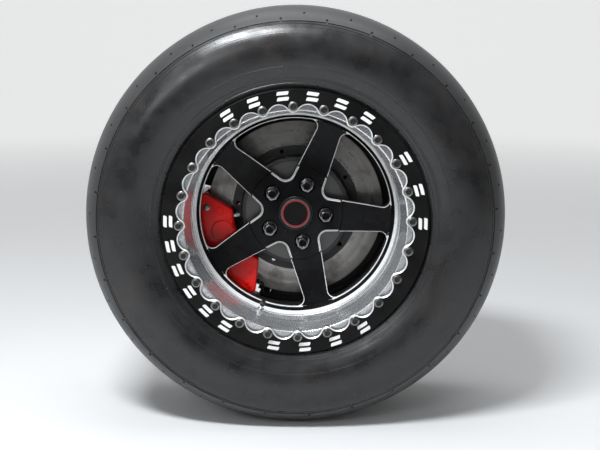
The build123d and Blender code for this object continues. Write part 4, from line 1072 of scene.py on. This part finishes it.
def makeBleeder():
    form = bleeder
    screw = turnedShape(form["screw"], form["steps"])
    cutHexagon(screw, *form["hexagon"])
    cap = turnedShape(form["cap"], form["steps"], 1)
    place = inwardMatrix(form["radius"], form["angle"], form["depth"])
    bm = joinShapes([screw, cap], [place])
    piece = makePiece("bleederScrew", bm, "knuckle_body", ["brightSteel", "paleRubber"])
    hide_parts("bleeder")


# Caliper: a raised edge and small bolt heads on its face

caliperTrim = {
    "face": 0.14935,
    "ribRadii": (0.1230, 0.1262),
    "ribAngles": (187.0, 226.0),
    "ribRise": 0.0028,
    "ribShoulder": 0.4,  # share of the rise where its slopes begin
    "ribSlope": 0.0002,
    "ribTop": 0.0012,
    "sunk": 0.0010,
    "steps": 40,
    "head": (  # radius and height
        (0, 0.0030), (0.0024, 0.0030), (0.0026, 0.0050), (0.0038, 0.0050), (0.0046, 0.0046),
        (0.0046, 0.0008), (0.0062, 0.0006), (0.0062, -0.0010), (0, -0.0010),
    ),
    "headHexagon": (0.0080, 0.0009, 0.0047, 0.4),  # flats, from and to height, slope
    "headSteps": 24,
    "bolts": (  # radius, angle, size and material of each head
        (0.1700, 178.0, 1.0, 1),
        (0.1690, 235.6, 0.8, 0),
        (0.1733, 238.6, 0.7, 0),
        (0.1772, 241.4, 0.6, 0),
    ),
}


def makeCaliperTrim():
    form = caliperTrim
    face = form["face"]
    inner, outer = form["ribRadii"]
    middle = (inner + outer) / 2
    top = face - form["ribRise"]
    shoulder = face - form["ribRise"] * form["ribShoulder"]
    moves = (
        ("to", shoulder, inner + form["ribSlope"]),
        ("to", top, middle - form["ribTop"] / 2),
        ("to", top, middle + form["ribTop"] / 2),
        ("to", shoulder, outer - form["ribSlope"]),
        ("to", face + form["sunk"], outer),
    )
    bm = bmesh.new()
    sweepSection(bm, (face + form["sunk"], inner), moves, form["ribAngles"], form["steps"])
    for radius, angle, size, material in form["bolts"]:
        bolt = turnedShape(form["head"], form["headSteps"], material)
        cutHexagon(bolt, *form["headHexagon"])
        placeCopies(bm, bolt, [wheelMatrix(radius, angle, face) @ Matrix.Scale(size, 4)])
    makePiece("caliperTrim", bm, "knuckle_body", ["caliperRed", "boltSteel"])


# Flared rim of the dust shield, and its lips beside the ends of the caliper: dark sheets that also
# stand in as painted shade, closing gaps where the bright floor and the knuckle would show

shieldRim = {
    "front": (0.2255, 0.1850),  # depth and radius
    "back": (0.2460, 0.1995),
    "wall": (0.0007, -0.0010),  # from its outer to its inner face
    "angles": (248.0, 525.5),
    "steps": 120,
    "tabs": (  # radius, angle, depth, width and length
        (0.1780, 166.1, 0.2217, 0.0085, 0.0190),
        (0.1685, 250.0, 0.2320, 0.0249, 0.0370),
    ),
    "tabThickness": 0.0012,
    "tabRounding": 0.0005,
}


def makeShieldRim():
    form = shieldRim
    wall = Vector(form["wall"])
    moves = (
        ("to", *form["back"]),
        ("to", *(Vector(form["back"]) + wall)),
        ("to", *(Vector(form["front"]) + wall)),
    )
    bm = bmesh.new()
    sweepSection(bm, form["front"], moves, form["angles"], form["steps"])
    for radius, angle, depth, width, length in form["tabs"]:
        source = bmesh.new()
        bmesh.ops.create_cube(source, size=1)
        bmesh.ops.scale(source, verts=source.verts, vec=(width, length, form["tabThickness"]))
        bevelShape(source, source.edges[:], form["tabRounding"], 2, "EDGES")
        placeCopies(bm, source, [wheelMatrix(radius, angle, depth)])
    makePiece("shieldRim", bm, "knuckle_body", ["shieldBlack"])


# Marks on the ring: pairs of plain slanted bars, with nothing written

ringMarks = {
    "groups": ((56.0, 122.0, 6), (0.0, 31.0, 3), (179.0, 236.0, 6), (260.0, 303.0, 4)),
    "rows": (0.2230, 0.2330),
    "length": 0.0205,
    "height": 0.0062,
    "shear": 0.35,
    "rounding": 0.0016,
    "thickness": 0.0002,
}


def addMark(bm, row, angle):
    form = ringMarks
    source = bmesh.new()
    bmesh.ops.create_grid(source, x_segments=8, y_segments=1, size=0.5)
    bmesh.ops.scale(source, verts=source.verts, vec=(form["length"], form["height"], 1))
    reach = form["length"] / 2 - sameSpot
    corners = [v for v in source.verts if abs(v.co.x) > reach]
    bevelShape(source, corners, form["rounding"], 4, "VERTICES")
    shape = bmesh.ops.extrude_face_region(source, geom=source.faces[:])["geom"]
    bmesh.ops.translate(source, verts=onlyVerts(shape), vec=(0, 0, form["thickness"]))
    for vert in source.verts:
        # leans and follows the circle
        turn = angle - degrees((vert.co.x + vert.co.y * form["shear"]) / row)
        vert.co = onWheel(row + vert.co.y, turn, -vert.co.z)
    faceOutwards(source)
    placeCopies(bm, source, [Matrix.Identity(4)])


def makeRingMarks():
    bm = bmesh.new()
    for first, last, count in ringMarks["groups"]:
        for mark in range(count):
            for row in ringMarks["rows"]:
                addMark(bm, row, first + (last - first) * mark / (count - 1))
    makePiece("ringMarks", bm, "wheel_body", ["markWhite"])


for make in (
    makeTyre, makeRingBolts, makeLugNuts, makeValve, makeBleeder, makeCaliperTrim, makeShieldRim,
    makeRingMarks,
):
    make()
    print("made by", make.__name__)


# Studio: pale floor and backdrop, soft lamps and the camera

studio = {
    "floorWidth": 14.0,
    "floorFront": -2.4,
    "floorBack": 5.0,
    "sweepRadius": 2.0,
    "sweepSteps": 24,
    "wallHeight": 4.0,
    "floorColour": grey(0.80),
    "floorPatches": 0.97,  # share of that colour in the darker patches
    "worldColour": (0.86, 0.87, 0.88),
    "worldLight": 0.38,
    "lightSide": (-0.4, 0.5, 0.77),  # the side from which the room is brightest in reflections
    "roomSides": (-0.5, 0.8),  # how far towards that side the room is darkest and brightest
    "roomLight": (0.08, 1.1),
    "backdropGlow": 0.62,
    "glowReach": (0.9, 5.5),  # metres from the object over which the glow sets in
    "lampColour": (0.93, 0.965, 1.0),
}


def makeFloorPaint():
    shader = startMaterial("floorPaint", {"Roughness": 0.75, "Specular IOR Level": 0.2})
    coords = addCoordinates(shader)["Object"]
    pale = studio["floorColour"]
    darker = tuple(part * studio["floorPatches"] for part in pale)
    patches = addNoise(coords, 3.0, detail=5.0)
    feed(shader.inputs["Base Color"], addMix(patches, pale, darker))
    # the backdrop glows towards the camera and in metal and glass, but lights nothing
    reach = addNode(shader, "VectorMath", Vector=coords)
    reach.operation = "LENGTH"
    rise = addRange(reach.outputs["Value"], *studio["glowReach"], 0.0, studio["backdropGlow"])
    path = addNode(shader, "LightPath").outputs
    seen = addMath(path["Is Camera Ray"], "MAXIMUM", addMirrored(path))
    feed(shader.inputs["Emission Color"], pale)
    feed(shader.inputs["Emission Strength"], product(rise, seen))


def makeStudio():
    makeFloorPaint()
    bm = bmesh.new()
    half = studio["floorWidth"] / 2
    corners = [bm.verts.new((x, studio["floorFront"], floorHeight)) for x in (-half, half)]
    floorRun = studio["floorBack"] - studio["floorFront"]
    run = bmesh.ops.extrude_edge_only(bm, edges=[bm.edges.new(corners)])["geom"]
    bmesh.ops.translate(bm, verts=onlyVerts(run), vec=(0, floorRun, 0))
    centre = (0, studio["floorBack"], floorHeight + studio["sweepRadius"])
    last = onlyEdges(run) + onlyVerts(run)
    sweep = bmesh.ops.spin(
        bm, geom=last, cent=centre, axis=(1, 0, 0), angle=pi / 2, steps=studio["sweepSteps"]
    )["geom_last"]
    wall = bmesh.ops.extrude_edge_only(bm, edges=onlyEdges(sweep))["geom"]
    bmesh.ops.translate(bm, verts=onlyVerts(wall), vec=(0, 0, studio["wallHeight"]))
    faceOutwards(bm)
    floor = meshObject("studioFloor", bm, ["floorPaint"])


def makeWorld():
    world = bpy.data.worlds.new("studioWorld")
    bpy.context.scene.world = world
    world.use_nodes = True
    tree = world.node_tree
    background = tree.nodes["Background"].inputs
    feed(background["Color"], studio["worldColour"])
    towards = addNode(tree, "VectorMath", Vector=addCoordinates(tree)["Generated"])
    towards.operation = "DOT_PRODUCT"
    towards.inputs[1].default_value = studio["lightSide"]
    room = addRange(towards.outputs["Value"], *studio["roomSides"], *studio["roomLight"])
    path = addNode(tree, "LightPath").outputs
    strength = addRange(addMirrored(path), 0, 1, studio["worldLight"], room)
    feed(background["Strength"], addRange(path["Is Camera Ray"], 0, 1, strength, 1.0))


lamps = {  # place, aim, width, height, watts
    "keyLamp": ((-0.58, -1.33, 1.98), (0, -0.2, 0.15), 0.75, 0.32, 64),
    "fillLamp": ((-0.9, -2.2, 0.95), (0, -0.2, 0.1), 0.7, 0.5, 7),
    "topLamp": ((0.1, 0.1, 2.2), (0, -0.1, 0.2), 2.2, 0.9, 17),
}


def makeLamps():
    for name, (place, aim, width, height, watts) in lamps.items():
        lamp = bpy.data.lights.new(name, "AREA")
        lamp.shape = "RECTANGLE"
        lamp.size = width
        lamp.size_y = height
        lamp.energy = watts
        lamp.color = studio["lampColour"]
        holder = linkObject(name, lamp)
        holder.location = place
        holder.rotation_euler = (Vector(aim) - Vector(place)).to_track_quat("-Z", "Y").to_euler()


camera = {
    "distance": 2.03,  # from the middle of the ring's front face
    "elevation": 9.9,
    "azimuth": 0.16,
    "lens": 68.2,
    "shiftX": 0.0077,
    "shiftY": -0.002,
}


def makeCamera():
    data = bpy.data.cameras.new("viewCamera")
    data.lens = camera["lens"]
    data.shift_x = camera["shiftX"]
    data.shift_y = camera["shiftY"]
    holder = linkObject("viewCamera", data)
    rise = radians(camera["elevation"])
    side = radians(camera["azimuth"])
    back = Vector((sin(side) * cos(rise), -cos(side) * cos(rise), sin(rise)))
    holder.location = wheelCentre + back * camera["distance"]
    holder.rotation_euler = (-back).to_track_quat("-Z", "Y").to_euler()
    bpy.context.scene.camera = holder


makeStudio()
makeWorld()
makeLamps()
makeCamera()
bpy.context.scene.view_settings.view_transform = "Standard"
print("studio made")
